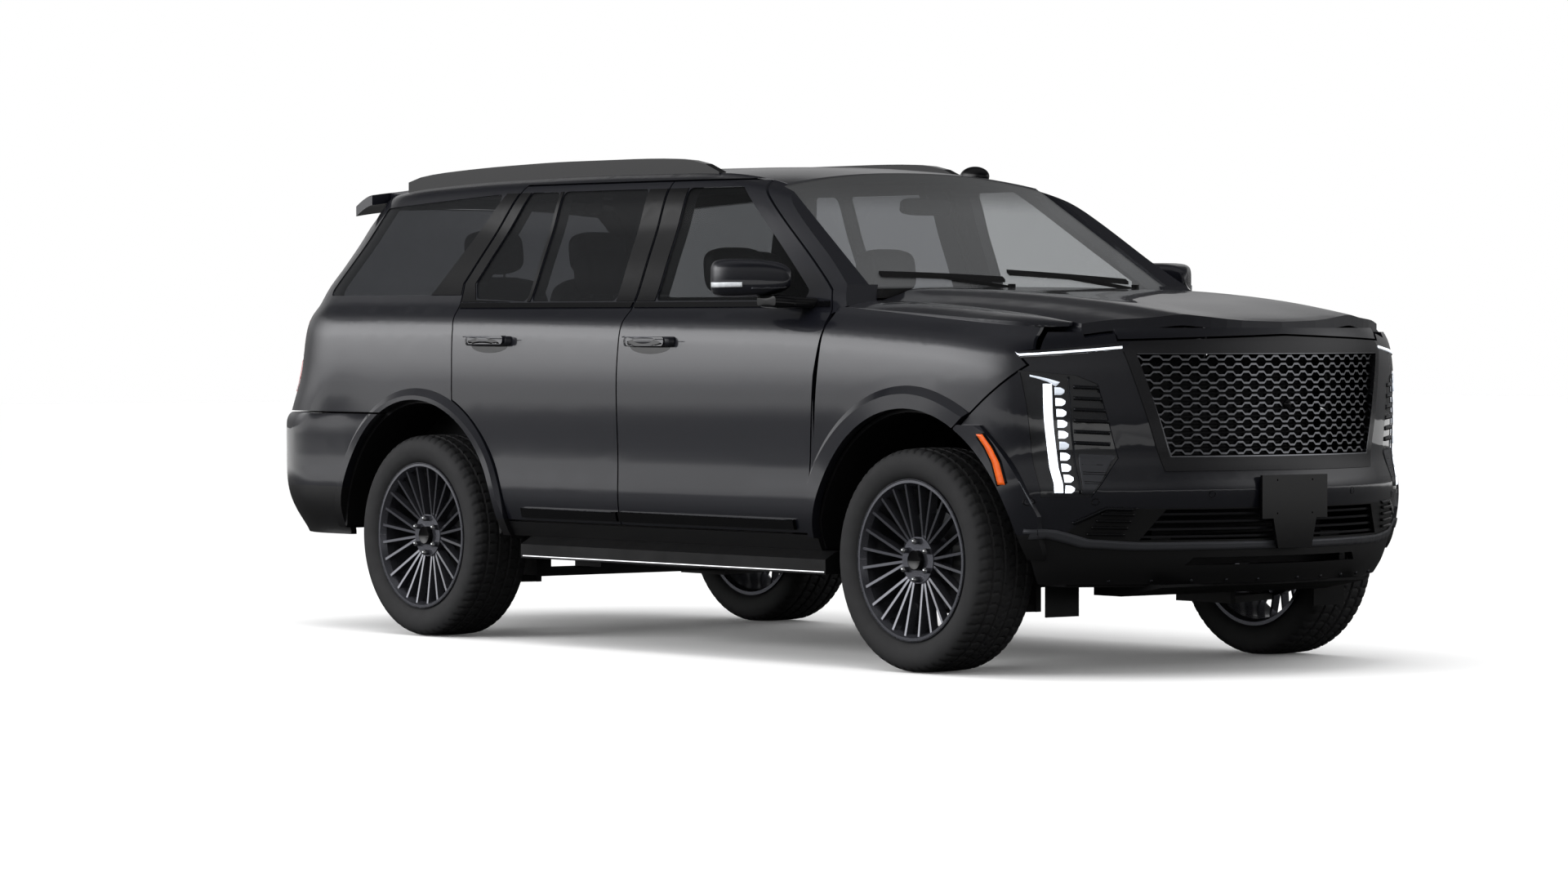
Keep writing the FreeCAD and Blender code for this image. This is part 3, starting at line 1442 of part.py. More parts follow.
# Cabin
dash_half = 786.0
dash_rear_x = 850.0
dash_bottom = 760.0
dash_top = 1320.0
dash_shares = [(1, 0), (1, 1), (0.333, 0.946), (0.061, 0.786), (0, 0.571), (0.152, 0.179), (0.576, 0)]
dash_profile = in_box(dash_shares, dash_rear_x, firewall_x - seat_gap, dash_bottom, dash_top)
dashboard = side_prism(dash_profile, 3 * lap, -dash_half, dash_half)
wheel_x = 748.0
wheel_z = 1092.0
wheel_y = 385.0
wheel_ring = 183.0
wheel_section = 15.0
column_radius = 36.0
column_lean = math.radians(24)
column_axis = Vector(math.cos(column_lean), 0, -math.sin(column_lean))
wheel_centre = Vector(wheel_x, wheel_y, wheel_z)
ring = Part.makeTorus(wheel_ring, wheel_section, wheel_centre, column_axis)
column = Part.makeCylinder(column_radius, wheel_ring, wheel_centre, column_axis)
wheel_bar = Part.makeBox(column_radius, 2 * wheel_ring, column_radius / 2)
wheel_bar.translate(Vector(-column_radius / 2, -wheel_ring, -column_radius / 4))
wheel_bar.rotate(Vector(0, 0, 0), Vector(0, 1, 0), -90 + math.degrees(column_lean))
wheel_bar.translate(wheel_centre)
steering_wheel = joined([ring, column.cut(dashboard), wheel_bar])

seat_width = 520.0
seat_length = 500.0
seat_back = 560.0
seat_thick = 110.0
seat_base = 150.0
back_lean = 0.25
head_width = 260.0
head_height = 170.0
head_rise = 30.0


def seat(front_x_at, y, width, floor_z):
    """Closed cushion, back and head restraint on a pedestal."""
    rear = front_x_at - seat_length
    base = floor_z + seat_base
    top = base + seat_thick + seat_back
    lean = back_lean * seat_back
    profile = [
        (front_x_at, base), (front_x_at, base + seat_thick), (rear + seat_thick, base + seat_thick * 0.8),
        (rear + seat_thick - lean, top), (rear - lean, top), (rear, base + seat_thick), (rear, base),
    ]
    body = side_prism(profile, 6 * lap, y - width / 2, y + width / 2)
    head = block(rear - lean, rear - lean + seat_thick, y - head_width / 2, y + head_width / 2,
                 top + head_rise, top + head_rise + head_height)
    neck = block(rear - lean + seat_thick / 3, rear - lean + seat_thick / 2,
                 y - head_width / 4, y + head_width / 4, top - lap, top + head_rise + lap)
    pedestal = block(rear + seat_thick / 2, front_x_at - seat_thick / 2,
                     y - width / 3, y + width / 3, floor_z + seat_gap, base + lap)
    return joined([body, head, neck, pedestal])


front_seat_x = 520.0
second_row_x = -330.0
third_row_x = -1250.0
seat_y = 395.0
main_floor = floor_bottom + floor_thick
raised_floor = rear_floor_bottom + floor_thick
front_seats = both(seat(front_seat_x, seat_y, seat_width, main_floor))
second_row = seat(second_row_x, seat_y, seat_width, main_floor)
third_row = seat(third_row_x, seat_y * 0.7, seat_width, raised_floor)
rear_seats = Part.makeCompound([second_row, mirrored(second_row), third_row, mirrored(third_row)])

# Roof rails and running boards
roof_rail_half = 621.0
roof_rail_width = 36.0
roof_rail_front_x = 148.0
roof_rail_rear_x = -1940.0
roof_rail_top = 1934.0
rail_rise = roof_rail_top - roof_edge_height
rail_height_shares = [
    (0, 0), (0.03, 0.42), (0.08, 0.78), (0.15, 0.95), (0.25, 1.0), (0.45, 1.0), (0.65, 0.88), (0.85, 0.62),
    (0.95, 0.36), (1, 0),
]
rail_outline = [(roof_rail_front_x, roof_edge_height - 2 * rail_rise)]
for i in range(25):
    x = roof_rail_front_x + (roof_rail_rear_x - roof_rail_front_x) * i / 24
    rail_outline.append((x, roof_edge_height + rail_rise * curve(rail_height_shares, i / 24)))
rail_outline.append((roof_rail_rear_x, roof_edge_height - 2 * rail_rise))
rail_inner_y = roof_rail_half - roof_rail_width / 2
rail_solid = side_prism(rail_outline, 0, rail_inner_y, rail_inner_y + roof_rail_width)
rail_solid = rail_solid.cut(roof_sheet(0).extrude(Vector(0, 0, -4 * roof_thick)))
rail_solid = rail_solid.cut(layer(side_face, 0, door_depth))
rail_solid = max(rail_solid.Solids, key=lambda piece: piece.Volume)
roof_rails = both(rail_solid)

board_front_x = 1240.0
board_rear_x = -655.0
board_inner = 860.0
board_outer = 1008.0
board_bottom = 345.0
board_chamfer = 30.0
board_section = [
    (board_inner, board_bottom + board_chamfer), (board_inner, sill_bottom - seat_gap),
    (sill_half, sill_bottom - seat_gap), (board_outer, sill_bottom - board_chamfer),
    (board_outer, board_bottom), (board_outer - 2 * board_chamfer, board_bottom),
]
board = front_prism(board_section, 0, board_rear_x, board_front_x)
running_boards = both(board)

# Gloss trims on the doors and the C pillar: window frames, belt strips and lower mouldings
trim_proud = 3.0
belt_strip_high = 20.0
belt_strip_proud = 6.0
moulding_bottom = 506.0
moulding_high = 38.0
moulding_proud = 14.0
moulding_front_x = 1050.0


def door_trims(outline, windows, rear_x, front_x_at):
    """Frame round the windows, belt strip and lower moulding of one door, as solids on its skin."""
    inside = across(grown(outline, -lap))
    frame = inside.common(block(rear_x, front_x_at, 0, length, window_sill, window_top))
    for window in windows:
        frame = frame.cut(across(grown(window, lap)))
    belt = inside.common(upright(window_sill - lap - belt_strip_high, window_sill - lap))
    moulding = inside.common(block(board_rear_x, moulding_front_x, 0, length,
                                   moulding_bottom, moulding_bottom + moulding_high))
    solids = layer(side_face, -trim_proud, -seat_gap).common(frame).Solids
    solids += layer(side_face, -belt_strip_proud, -seat_gap).common(belt).Solids
    solids += layer(side_face, -moulding_proud, -seat_gap).common(moulding).Solids
    return Part.makeCompound(solids)


front_trim = door_trims(front_door_outline, [front_window], b_pillar_x, b_pillar_top_x + b_applique)
front_trim = front_trim.cut(mirror_left)
rear_trim = door_trims(rear_door_outline, [rear_window, small_window], -half_length, b_pillar_top_x)
c_pillar = across([
    (quarter_front_x + lap, quarter_sill), (rear_door_rear, quarter_sill),
    (rear_door_top_x, window_top), (quarter_top_front_x + lap, window_top),
]).cut(across(grown(rear_door_outline, panel_gap + lap)))
pillar_trims = both(layer(side_face, -trim_proud, -seat_gap).common(c_pillar))

# Wipers at rest, just above the windshield, and the aerial's pod on the roof
wiper_stand = 5.0
wiper_thick = 12.0
wiper_width = 16.0
wiper_length = 590.0
wiper_pivot_x = 1228.0
wiper_pivot_radius = 15.0
wiper_heel_x = 1190.0
wiper_tip_x = 1152.0
wiper_left_y = 575.0
wiper_right_y = -70.0


def wiper(pivot_y, band):
    """Blade, arm and pivot of one wiper that lies along the windshield's base."""
    middle_y = pivot_y - wiper_length / 2
    middle_x = (wiper_heel_x + wiper_tip_x) / 2
    blade = plan_prism([
        (wiper_heel_x, pivot_y), (wiper_heel_x - wiper_width, pivot_y),
        (wiper_tip_x - wiper_width, pivot_y - wiper_length), (wiper_tip_x, pivot_y - wiper_length),
    ], 0, 0, length)
    arm_part = plan_prism([
        (wiper_pivot_x, pivot_y + wiper_width / 2), (wiper_pivot_x, pivot_y - wiper_width / 2),
        (middle_x, middle_y), (middle_x - wiper_width / 2, middle_y + wiper_width),
    ], 0, 0, length)
    pivot = Part.makeCylinder(wiper_pivot_radius, wiper_thick + 2 * wiper_stand,
                              Vector(wiper_pivot_x, pivot_y, cowl_top + seat_gap))
    return joined([band.common(blade), band.common(arm_part), pivot]).cut(moved(firewall, 0, 0, seat_gap))


wiper_band = moved(windshield_sheet(seat_gap, cowl_reach), 0, 0, wiper_stand)
wiper_band = wiper_band.extrude(Vector(0, 0, wiper_thick))
wipers = Part.makeCompound([wiper(wiper_left_y, wiper_band), wiper(wiper_right_y, wiper_band)])

pod_x = 480.0
pod_y = 400.0
pod_length = 150.0
pod_width = 84.0
pod_height = 40.0
pod_scale = FreeCAD.Matrix()
pod_scale.scale(pod_length / 2, pod_width / 2, pod_height)
roof_pod = Part.makeSphere(1).transformGeometry(pod_scale)
roof_pod = moved(roof_pod, pod_x, pod_y, roof_z(pod_x, pod_y))
roof_pod = roof_pod.cut(moved(roof_sheet(0), 0, 0, seat_gap).extrude(Vector(0, 0, -2 * pod_height)))

# Hinge plates of the hood and the liftgate: a leaf on each, flat beside the leaf on the body
leaf_thick = 6.0
leaf_long = 70.0
leaf_high = 60.0
hood_leaf_y = 700.0
hood_leaf_x = 1290.0
hood_leaf_top = hood_z(hood_leaf_x, hood_leaf_y) - hood_thick + lap
gate_leaf_y = 470.0
gate_leaf_top = roof_z(gate_front_x, gate_leaf_y) - roof_thick + lap


def leaf(x0, x1, y, z0, z1):
    return block(x0, x1, y, y + leaf_thick, z0, z1)


hood_leaf = leaf(hood_leaf_x, hood_leaf_x + leaf_long, hood_leaf_y, hood_leaf_top - leaf_high, hood_leaf_top)
hood = joined([hood, hood_leaf, mirrored(hood_leaf)])
cowl_leaf_y = hood_leaf_y - leaf_thick - seat_gap
cowl_leaf = leaf(firewall_x + lap, hood_leaf_x + leaf_long, cowl_leaf_y,
                 hood_leaf_top - leaf_high, hood_leaf_top - leaf_high / 3)
firewall = joined([firewall, cowl_leaf, mirrored(cowl_leaf)])
gate_leaf = leaf(gate_front_x - spoiler_reach / 4, gate_front_x - panel_gap + leaf_long / 2, gate_leaf_y,
                 gate_leaf_top - leaf_high, gate_leaf_top - leaf_high / 6)
roof_leaf = leaf(gate_front_x + panel_gap, gate_front_x + leaf_long, gate_leaf_y - leaf_thick - seat_gap,
                 gate_leaf_top - leaf_high, gate_leaf_top)
liftgate = joined([liftgate, gate_leaf, mirrored(gate_leaf)])
roof_panel = joined([roof_panel, roof_leaf, mirrored(roof_leaf)])

# Blank bracket's bolt holes, in the spacing of a plate
plate_hole_radius = 3.5
plate_hole_y = 177.8
plate_hole_z = 120.65
plate_middle = (bracket_bottom + bracket_top) / 2
for y in (-plate_hole_y / 2, plate_hole_y / 2):
    for z in (plate_middle - plate_hole_z / 2, plate_middle + plate_hole_z / 2):
        hole = Part.makeCylinder(plate_hole_radius, half_length, Vector(0, y, z), Vector(1, 0, 0))
        bracket = bracket.cut(hole)

pieces = {
    "roof_panel": roof_panel,
    "body_side_left": body_side_left,
    "body_side_right": mirrored(body_side_left),
    "front_door_left": front_door,
    "front_door_right": mirrored(front_door),
    "rear_door_left": rear_door,
    "rear_door_right": mirrored(rear_door),
    "front_glass_left": front_glass,
    "front_glass_right": mirrored(front_glass),
    "rear_glass_left": rear_glass,
    "rear_glass_right": mirrored(rear_glass),
    "front_trim_left": front_trim,
    "front_trim_right": mirrored(front_trim),
    "rear_trim_left": rear_trim,
    "rear_trim_right": mirrored(rear_trim),
    "pillar_trims": pillar_trims,
    "mirror_left": mirror_left,
    "mirror_right": mirrored(mirror_left),
    "quarter_glass": quarter_glass,
    "windshield": windshield,
    "wipers": wipers,
    "roof_pod": roof_pod,
    "hood": hood,
    "front_fenders": both(fender_left),
    "front_bumper": front_bumper,
    "grille": grille,
    "undershield": undershield,
    "nose_cover": nose_cover,
    "headlamps": headlamps,
    "plate_bracket": bracket,
    "rear_bumper": rear_bumper,
    "liftgate": liftgate,
    "liftgate_glass": gate_glass,
    "tail_lamps": both(tail_lamp),
    "roof_rails": roof_rails,
    "running_boards": running_boards,
    "chassis_frame": chassis_frame,
    "engine": engine,
    "radiator": radiator,
    "front_suspension": front_suspension,
    "rear_suspension": rear_suspension,
    "exhaust": exhaust,
    "floor_pan": floor_pan,
    "wheel_liners": wheel_liners,
    "firewall": firewall,
    "dashboard": dashboard,
    "steering_wheel": steering_wheel,
    "front_seats": front_seats,
    "rear_seats": rear_seats,
    "knuckle_left": knuckle_left,
    "knuckle_right": mirrored(knuckle_left),
    "tyre_front_left": placed(wheel_tyre, front_left_hub),
    "tyre_front_right": mirrored(placed(wheel_tyre, front_left_hub)),
    "tyre_rear_left": placed(wheel_tyre, rear_left_hub),
    "tyre_rear_right": mirrored(placed(wheel_tyre, rear_left_hub)),
    "rim_front_left": placed(wheel_rim, front_left_hub),
    "rim_front_right": mirrored(placed(wheel_rim, front_left_hub)),
    "rim_rear_left": placed(wheel_rim, rear_left_hub),
    "rim_rear_right": mirrored(placed(wheel_rim, rear_left_hub)),
}
for name, shape in pieces.items():
    shape.exportStep("parts/" + name + ".step")
    state = "valid" if shape.isValid() else "invalid"
    print(name, len(shape.Solids), "solids", state, round(shape.Volume / 1e6, 2), "litres")
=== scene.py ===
# Full-size family SUV in dark metallic paint, dressed over its CAD frame. All lengths in metres.
import bmesh
import bpy
import json
import math
import numpy as np
from mathutils import Matrix, Vector


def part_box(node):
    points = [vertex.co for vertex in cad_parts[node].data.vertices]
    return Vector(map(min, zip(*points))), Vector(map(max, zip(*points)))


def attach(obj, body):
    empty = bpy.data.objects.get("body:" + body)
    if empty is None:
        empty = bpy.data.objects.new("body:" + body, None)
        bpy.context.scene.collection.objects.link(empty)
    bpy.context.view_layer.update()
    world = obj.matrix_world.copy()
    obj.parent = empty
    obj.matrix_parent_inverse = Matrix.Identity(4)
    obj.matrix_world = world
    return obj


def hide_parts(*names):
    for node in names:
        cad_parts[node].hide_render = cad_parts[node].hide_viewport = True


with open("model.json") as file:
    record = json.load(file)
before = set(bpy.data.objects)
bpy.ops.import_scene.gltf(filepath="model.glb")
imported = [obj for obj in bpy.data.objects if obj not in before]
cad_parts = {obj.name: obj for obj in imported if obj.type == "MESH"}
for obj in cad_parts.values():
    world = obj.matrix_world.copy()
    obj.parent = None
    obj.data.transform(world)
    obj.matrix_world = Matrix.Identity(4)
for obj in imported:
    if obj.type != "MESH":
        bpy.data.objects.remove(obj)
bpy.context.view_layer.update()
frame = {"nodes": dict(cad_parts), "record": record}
nodes = frame["nodes"]
bodyOf = {node: body for body, held in frame["record"]["behaviour"]["bodies"].items() for node in held}
slotOfNode = {part["node"]: part["material_slot"] for part in frame["record"]["subparts"]}
print("stage: frame loaded,", len(nodes), "nodes")


# small helpers for materials

def linearColour(hexText):
    # sRGB hex to linear: each channel over 255, then the sRGB curve undone
    channels = np.array([int(hexText[i:i + 2], 16) for i in (1, 3, 5)]) / 255
    linear = np.where(channels <= 0.04045, channels / 12.92, ((channels + 0.055) / 1.055) ** 2.4)
    return (*[float(c) for c in linear], 1.0)


def feed(tree, node, inputs):
    # each input takes a plain value, a colour as hex text, or an output; a node stands for its first output in use
    for key, value in inputs.items():
        if isinstance(value, bpy.types.Node):
            value = next(output for output in value.outputs if output.enabled)
        if isinstance(value, bpy.types.NodeSocket):
            tree.links.new(value, node.inputs[key])
        else:
            node.inputs[key].default_value = linearColour(value) if isinstance(value, str) else value


def addNode(tree, kind, inputs=None, **attributes):
    # one node with its attributes, then its inputs
    node = tree.nodes.new("ShaderNode" + kind)
    for key, value in attributes.items():
        setattr(node, key, value)
    feed(tree, node, inputs or {})
    return node


def startMaterial(name, colour, metallic, roughness, **more):
    # Principled shader with plain values on its own sockets; returns material, tree and shader
    material = bpy.data.materials.new(name)
    material.use_nodes = True
    tree = material.node_tree
    shader = tree.nodes["Principled BSDF"]
    feed(tree, shader, {"Base Color": colour, "Metallic": metallic, "Roughness": roughness,
                        **{key.replace("_", " "): value for key, value in more.items()}})
    material.diffuse_color = linearColour(colour)
    return material, tree, shader


def mottle(tree, shader, scale, detail, dark, light):
    # colour drifts from one to the other with noise; every scale here is in features per metre of the object
    place = addNode(tree, "TexCoord")
    cloud = addNode(tree, "TexNoise", {"Scale": scale, "Detail": detail, "Vector": place.outputs["Object"]})
    blend = addNode(tree, "Mix", {"A": dark, "B": light, "Factor": cloud}, data_type="RGBA")
    feed(tree, shader, {"Base Color": blend})


def fineRelief(tree, shader, scale, detail, strength, depth):
    # raised and sunk skin from noise, its depth in metres
    place = addNode(tree, "TexCoord")
    height = addNode(tree, "TexNoise", {"Scale": scale, "Detail": detail, "Vector": place.outputs["Object"]})
    bump = addNode(tree, "Bump", {"Strength": strength, "Distance": depth, "Height": height})
    feed(tree, shader, {"Normal": bump})


def patchyGloss(tree, shader, scale, smooth, dull):
    # roughness wanders between two values in soft patches, cut off where the noise is rare
    place = addNode(tree, "TexCoord")
    cloud = addNode(tree, "TexNoise", {"Scale": scale, "Detail": 2.0, "Vector": place.outputs["Object"]})
    spread = addNode(tree, "MapRange", {"From Min": 0.3, "From Max": 0.7, "To Min": smooth, "To Max": dull,
                                        "Value": cloud})
    feed(tree, shader, {"Roughness": spread})


def heightAndReach(tree):
    # two sockets: height over the ground, and distance from the centre line whichever the side
    place = addNode(tree, "TexCoord")
    split = addNode(tree, "SeparateXYZ", {"Vector": place.outputs["Object"]})
    reach = addNode(tree, "Math", {0: split.outputs["Y"]}, operation="ABSOLUTE")
    return split.outputs["Z"], reach


# materials

def surface(name, colour, metallic, roughness, mottled=None, relief=None, gloss=None, **more):
    # plain surface with up to three patterns: mottled (scale, detail, dark, light), relief (scale, detail, strength,
    # depth) and patchy gloss (scale, smooth, dull)
    material, tree, shader = startMaterial(name, colour, metallic, roughness, **more)
    for pattern, numbers in ((mottle, mottled), (fineRelief, relief), (patchyGloss, gloss)):
        if numbers:
            pattern(tree, shader, *numbers)
    return material


paintLook = {
    "base": "#15161d", "deep": "#0e0f15", "speck": "#1e1f28", "metallic": 0.45, "roughness": 0.36,
    "flakes": 900.0, "flakeFrom": 0.45, "flakeTo": 0.75, "cladding": "#060607", "claddingRoughness": 0.5,
}
# lower edge of the paint: its height in the middle and at the sides, and where across the car the one turns into the
# other
claddingLines = {
    "metallicPaintOverFrontCladding": {"middle": 0.615, "side": 0.52, "turnAt": 0.74, "turned": 0.84},
    "metallicPaintOverSillCladding": {"middle": 0.497, "side": 0.497, "turnAt": 0.9, "turned": 1.0},
    "metallicPaintOverRearCladding": {"middle": 0.57, "side": 0.60, "turnAt": 0.6, "turned": 0.9},
}
# light passes two surfaces of a pane, so each clear colour is the square root of the pane's; the first colour is a
# painted sheen, a flat grey on the glass's surface layer that stands in for its reflection, and film is the share of
# that layer kept when seen square on
glassLook = {
    "tintedFloatGlass": {"sheenGrey": "#38393a", "clear": "#d9dada", "film": 0.06},
    "laminatedShieldGlass": {"sheenGrey": "#8a8b8c", "clear": "#ecedee", "film": 0.065, "bandClear": "#a6a7a8",
                             "bandFrom": 1.70, "bandTo": 1.84},
    "privacyGlass": {"sheenGrey": "#4a4b4d", "clear": "#b2b3b5", "film": 0.08},
}
# the mesh lies between two heights, and within a half width that is given at two other heights
grilleLook = {
    "frame": "#1a1a1c", "mesh": "#8c8d91", "frameMetallic": 0.3, "bottom": 0.798, "top": 1.170,
    "lowHeight": 0.80, "lowHalf": 0.500, "highHeight": 1.17, "highHalf": 0.606,
}


def flakeColour(tree):
    # aluminium flakes: noise cut to specks mixes two tones; real flakes are 0.05 mm, drawn at about 1 mm to show
    place = addNode(tree, "TexCoord")
    flakes = addNode(tree, "TexNoise", {"Scale": paintLook["flakes"], "Detail": 1.0, "Vector": place.outputs["Object"]})
    cut = addNode(tree, "MapRange", {"From Min": paintLook["flakeFrom"], "From Max": paintLook["flakeTo"],
                                     "Value": flakes})
    return addNode(tree, "Mix", {"A": paintLook["deep"], "B": paintLook["speck"], "Factor": cut}, data_type="RGBA")


def metallicPaint():
    # two-coat metallic paint: fine flakes under a clear coat give a dark body with a soft sparkle
    material, tree, shader = startMaterial("metallicPaint", paintLook["base"], paintLook["metallic"],
                                           paintLook["roughness"], Coat_Weight=1.0, Coat_Roughness=0.025, Coat_IOR=1.5)
    feed(tree, shader, {"Base Color": flakeColour(tree)})
    return material


def cladPaint(name, line):
    # the same paint down to its lower edge, and black grained cladding below it
    material, tree, shader = startMaterial(name, paintLook["base"], 0.0, paintLook["roughness"], Coat_Weight=1.0,
                                           Coat_Roughness=0.03, Coat_IOR=1.5)
    height, reach = heightAndReach(tree)
    edge = addNode(tree, "MapRange", {"From Min": line["turnAt"], "From Max": line["turned"], "To Min": line["middle"],
                                      "To Max": line["side"], "Value": reach})
    above = addNode(tree, "Math", {0: height, 1: edge}, operation="GREATER_THAN")
    skin = addNode(tree, "Mix", {"A": paintLook["cladding"], "B": flakeColour(tree), "Factor": above}, data_type="RGBA")
    feed(tree, shader, {"Base Color": skin})
    for socket, under, over in (("Metallic", 0.0, paintLook["metallic"]), ("Coat Weight", 0.0, 1.0),
                                ("Roughness", paintLook["claddingRoughness"], paintLook["roughness"])):
        feed(tree, shader, {socket: addNode(tree, "MapRange", {"To Min": under, "To Max": over, "Value": above})})
    return material


def tintedGlass(name, look):
    # float glass tinted in the melt: light goes straight through a pane weakened by the tint, and the surface adds
    # its own reflection, strongest at a grazing angle, with a painted sheen from its flat grey base colour; a darker
    # band may fade in towards the top
    material, tree, shader = startMaterial(name, look["sheenGrey"], 0.0, 0.02, Specular_IOR_Level=0.5)
    see = addNode(tree, "BsdfTransparent", {"Color": look["clear"]})
    if "bandClear" in look:
        height, _ = heightAndReach(tree)
        rise = addNode(tree, "MapRange", {"From Min": look["bandFrom"], "From Max": look["bandTo"], "Value": height},
                       interpolation_type="SMOOTHSTEP")
        tint = addNode(tree, "Mix", {"A": look["clear"], "B": look["bandClear"], "Factor": rise}, data_type="RGBA")
        feed(tree, see, {"Color": tint})
    slant = addNode(tree, "LayerWeight", {"Blend": 0.5})
    grazing = addNode(tree, "Math", {0: slant.outputs["Facing"], 1: 4.0}, operation="POWER")
    amount = addNode(tree, "MapRange", {"To Min": look["film"], "To Max": 0.8, "Value": grazing})
    mixed = addNode(tree, "MixShader", {0: amount, 1: see, 2: shader})
    feed(tree, tree.nodes["Material Output"], {"Surface": mixed})
    return material


def grainedLeather():
    # semi-aniline leather, rolled grain of about 2 mm
    material, tree, shader = startMaterial("grainedLeather", "#18181a", 0.0, 0.46)
    place = addNode(tree, "TexCoord")
    cells = addNode(tree, "TexVoronoi", {"Scale": 480.0, "Vector": place.outputs["Object"]})
    feed(tree, shader, {"Normal": addNode(tree, "Bump", {"Strength": 0.25, "Distance": 0.0008, "Height": cells})})
    mottle(tree, shader, 9.0, 3.0, "#151517", "#232326")
    return material


def brazedFins():
    # brazed aluminium radiator core: fins 2 mm apart, drawn at 6 mm
    material, tree, shader = startMaterial("radiatorFins", "#141416", 0.6, 0.55)
    place = addNode(tree, "TexCoord")
    fins = addNode(tree, "TexWave", {"Scale": 26.0, "Vector": place.outputs["Object"]}, bands_direction="Z")
    bump = addNode(tree, "Bump", {"Strength": 0.6, "Distance": 0.002, "Height": fins.outputs["Fac"]})
    feed(tree, shader, {"Normal": bump})
    return material


def blackChromeMesh(look):
    # black chrome on the pierced grille: the mesh is brighter than the frame round it
    material, tree, shader = startMaterial("blackChromeMesh", "#0b0b0c", look["frameMetallic"], 0.2)
    height, reach = heightAndReach(tree)
    half = addNode(tree, "MapRange", {"From Min": look["lowHeight"], "From Max": look["highHeight"], "Value": height,
                                      "To Min": look["lowHalf"], "To Max": look["highHalf"]}, clamp=False)
    within = addNode(tree, "Math", {0: reach, 1: half}, operation="LESS_THAN")
    over = addNode(tree, "Math", {0: height, 1: look["bottom"]}, operation="GREATER_THAN")
    under = addNode(tree, "Math", {0: height, 1: look["top"]}, operation="LESS_THAN")
    band = addNode(tree, "Math", {0: over, 1: under}, operation="MULTIPLY")
    mask = addNode(tree, "Math", {0: band, 1: within}, operation="MULTIPLY")
    skin = addNode(tree, "Mix", {"A": look["frame"], "B": look["mesh"], "Factor": mask}, data_type="RGBA")
    shine = addNode(tree, "MapRange", {"To Min": look["frameMetallic"], "To Max": 1.0, "Value": mask})
    feed(tree, shader, {"Base Color": skin, "Metallic": shine})
    return material


paint = metallicPaint()
frontPaint, sillPaint, rearPaint = (cladPaint(name, line) for name, line in claddingLines.items())
clearGlass, shieldGlass, privacyGlass = (tintedGlass(name, look) for name, look in glassLook.items())
# gloss black acrylic over ABS, injection moulded: deep black with sharp reflections
glossBlack = surface("pianoBlackAbs", "#050506", 0.0, 0.09, (14.0, 1.0, "#040405", "#070708"), (14.0, 1.0, 0.02, 0.001),
                     Specular_IOR_Level=0.35)
# textured polypropylene: spark-eroded grain of about 0.8 mm breaks up the highlights
blackPlastic = surface("grainedPolypropylene", "#080809", 0.0, 0.55, None, (1200.0, 2.0, 0.25, 0.0004),
                       (6.0, 0.49, 0.63), Specular_IOR_Level=0.3)
# pressed steel with black electro-coat: even satin film with a slight orange peel of 5 mm
blackSteel = surface("eCoatedSteel", "#101011", 0.2, 0.5, None, (200.0, 2.0, 0.12, 0.0006))
# turned cast iron of the brake discs: grey satin metal, wavy by 5 mm
discSteel = surface("castIronDisc", "#4a4b4d", 0.9, 0.42, None, (200.0, 2.0, 0.12, 0.0006))
# sand-cast aluminium: grey, slightly rough
castMetal = surface("sandCastAluminium", "#55565a", 0.9, 0.5, None, (700.0, 2.0, 0.3, 0.0005))
# carbon-black filled rubber, moulded in a steel mould: dull charcoal with a faint bloom
tyreRubber = surface("vulcanisedRubber", "#161617", 0.0, 0.72, (22.0, 3.0, "#1b1b1c", "#29292a"),
                     (900.0, 2.0, 0.2, 0.0005))
# cast aluminium wheel in graphite metallic lacquer: sharp highlights along the edges of the spokes
wheelLacquer = surface("graphiteWheelLacquer", "#2a2b2f", 0.8, 0.24, (500.0, 1.0, "#4c4d53", "#66676e"),
                       Coat_Weight=0.8, Coat_Roughness=0.05)
# nickel and chromium plated ABS, bright, black or satin: metal skin with very slight haze patches
brightChrome = surface("brightChromePlate", "#d6d7d9", 1.0, 0.12, gloss=(40.0, 0.096, 0.15))
darkChrome = surface("blackChromePlate", "#3c3d40", 1.0, 0.28, gloss=(40.0, 0.224, 0.35))
satinGraphite = surface("satinGraphitePlate", "#4b4c50", 0.7, 0.38, gloss=(40.0, 0.304, 0.475))
# dyed acrylic or polycarbonate over a light guide: wet gloss, the moulded ribs showing as slow light and dark
tailRed, amberLens, clearReflex, smokedLens = (
    surface(name, deep, 0.0, 0.1, (ribs, 1.0, deep, light), Coat_Weight=1.0, Coat_Roughness=0.02)
    for name, deep, light, ribs in (
        ("redAcrylicLens", "#4a0507", "#7a0c10", 60.0), ("amberAcrylicLens", "#d9480a", "#f07016", 60.0),
        ("clearAcrylicLens", "#aeb2b6", "#d8dbdd", 60.0), ("smokedPolycarbonateLens", "#0b0c0e", "#17181b", 18.0)))
# frosted light guide lit from behind: the surface glows evenly
whiteGuide, softGuide, redGuideLeft, redGuideRight = (
    surface(name, colour, 0.0, 0.35, None, (300.0, 1.0, 0.1, 0.0003), Emission_Color=colour, Emission_Strength=glow)
    for name, colour, glow in (("whiteLightGuide", "#eef3fb", 1.0), ("dimLightGuide", "#c9d0da", 0.45),
                               ("redLightBladeLeft", "#b01015", 0.35), ("redLightBladeRight", "#b01015", 0.35)))

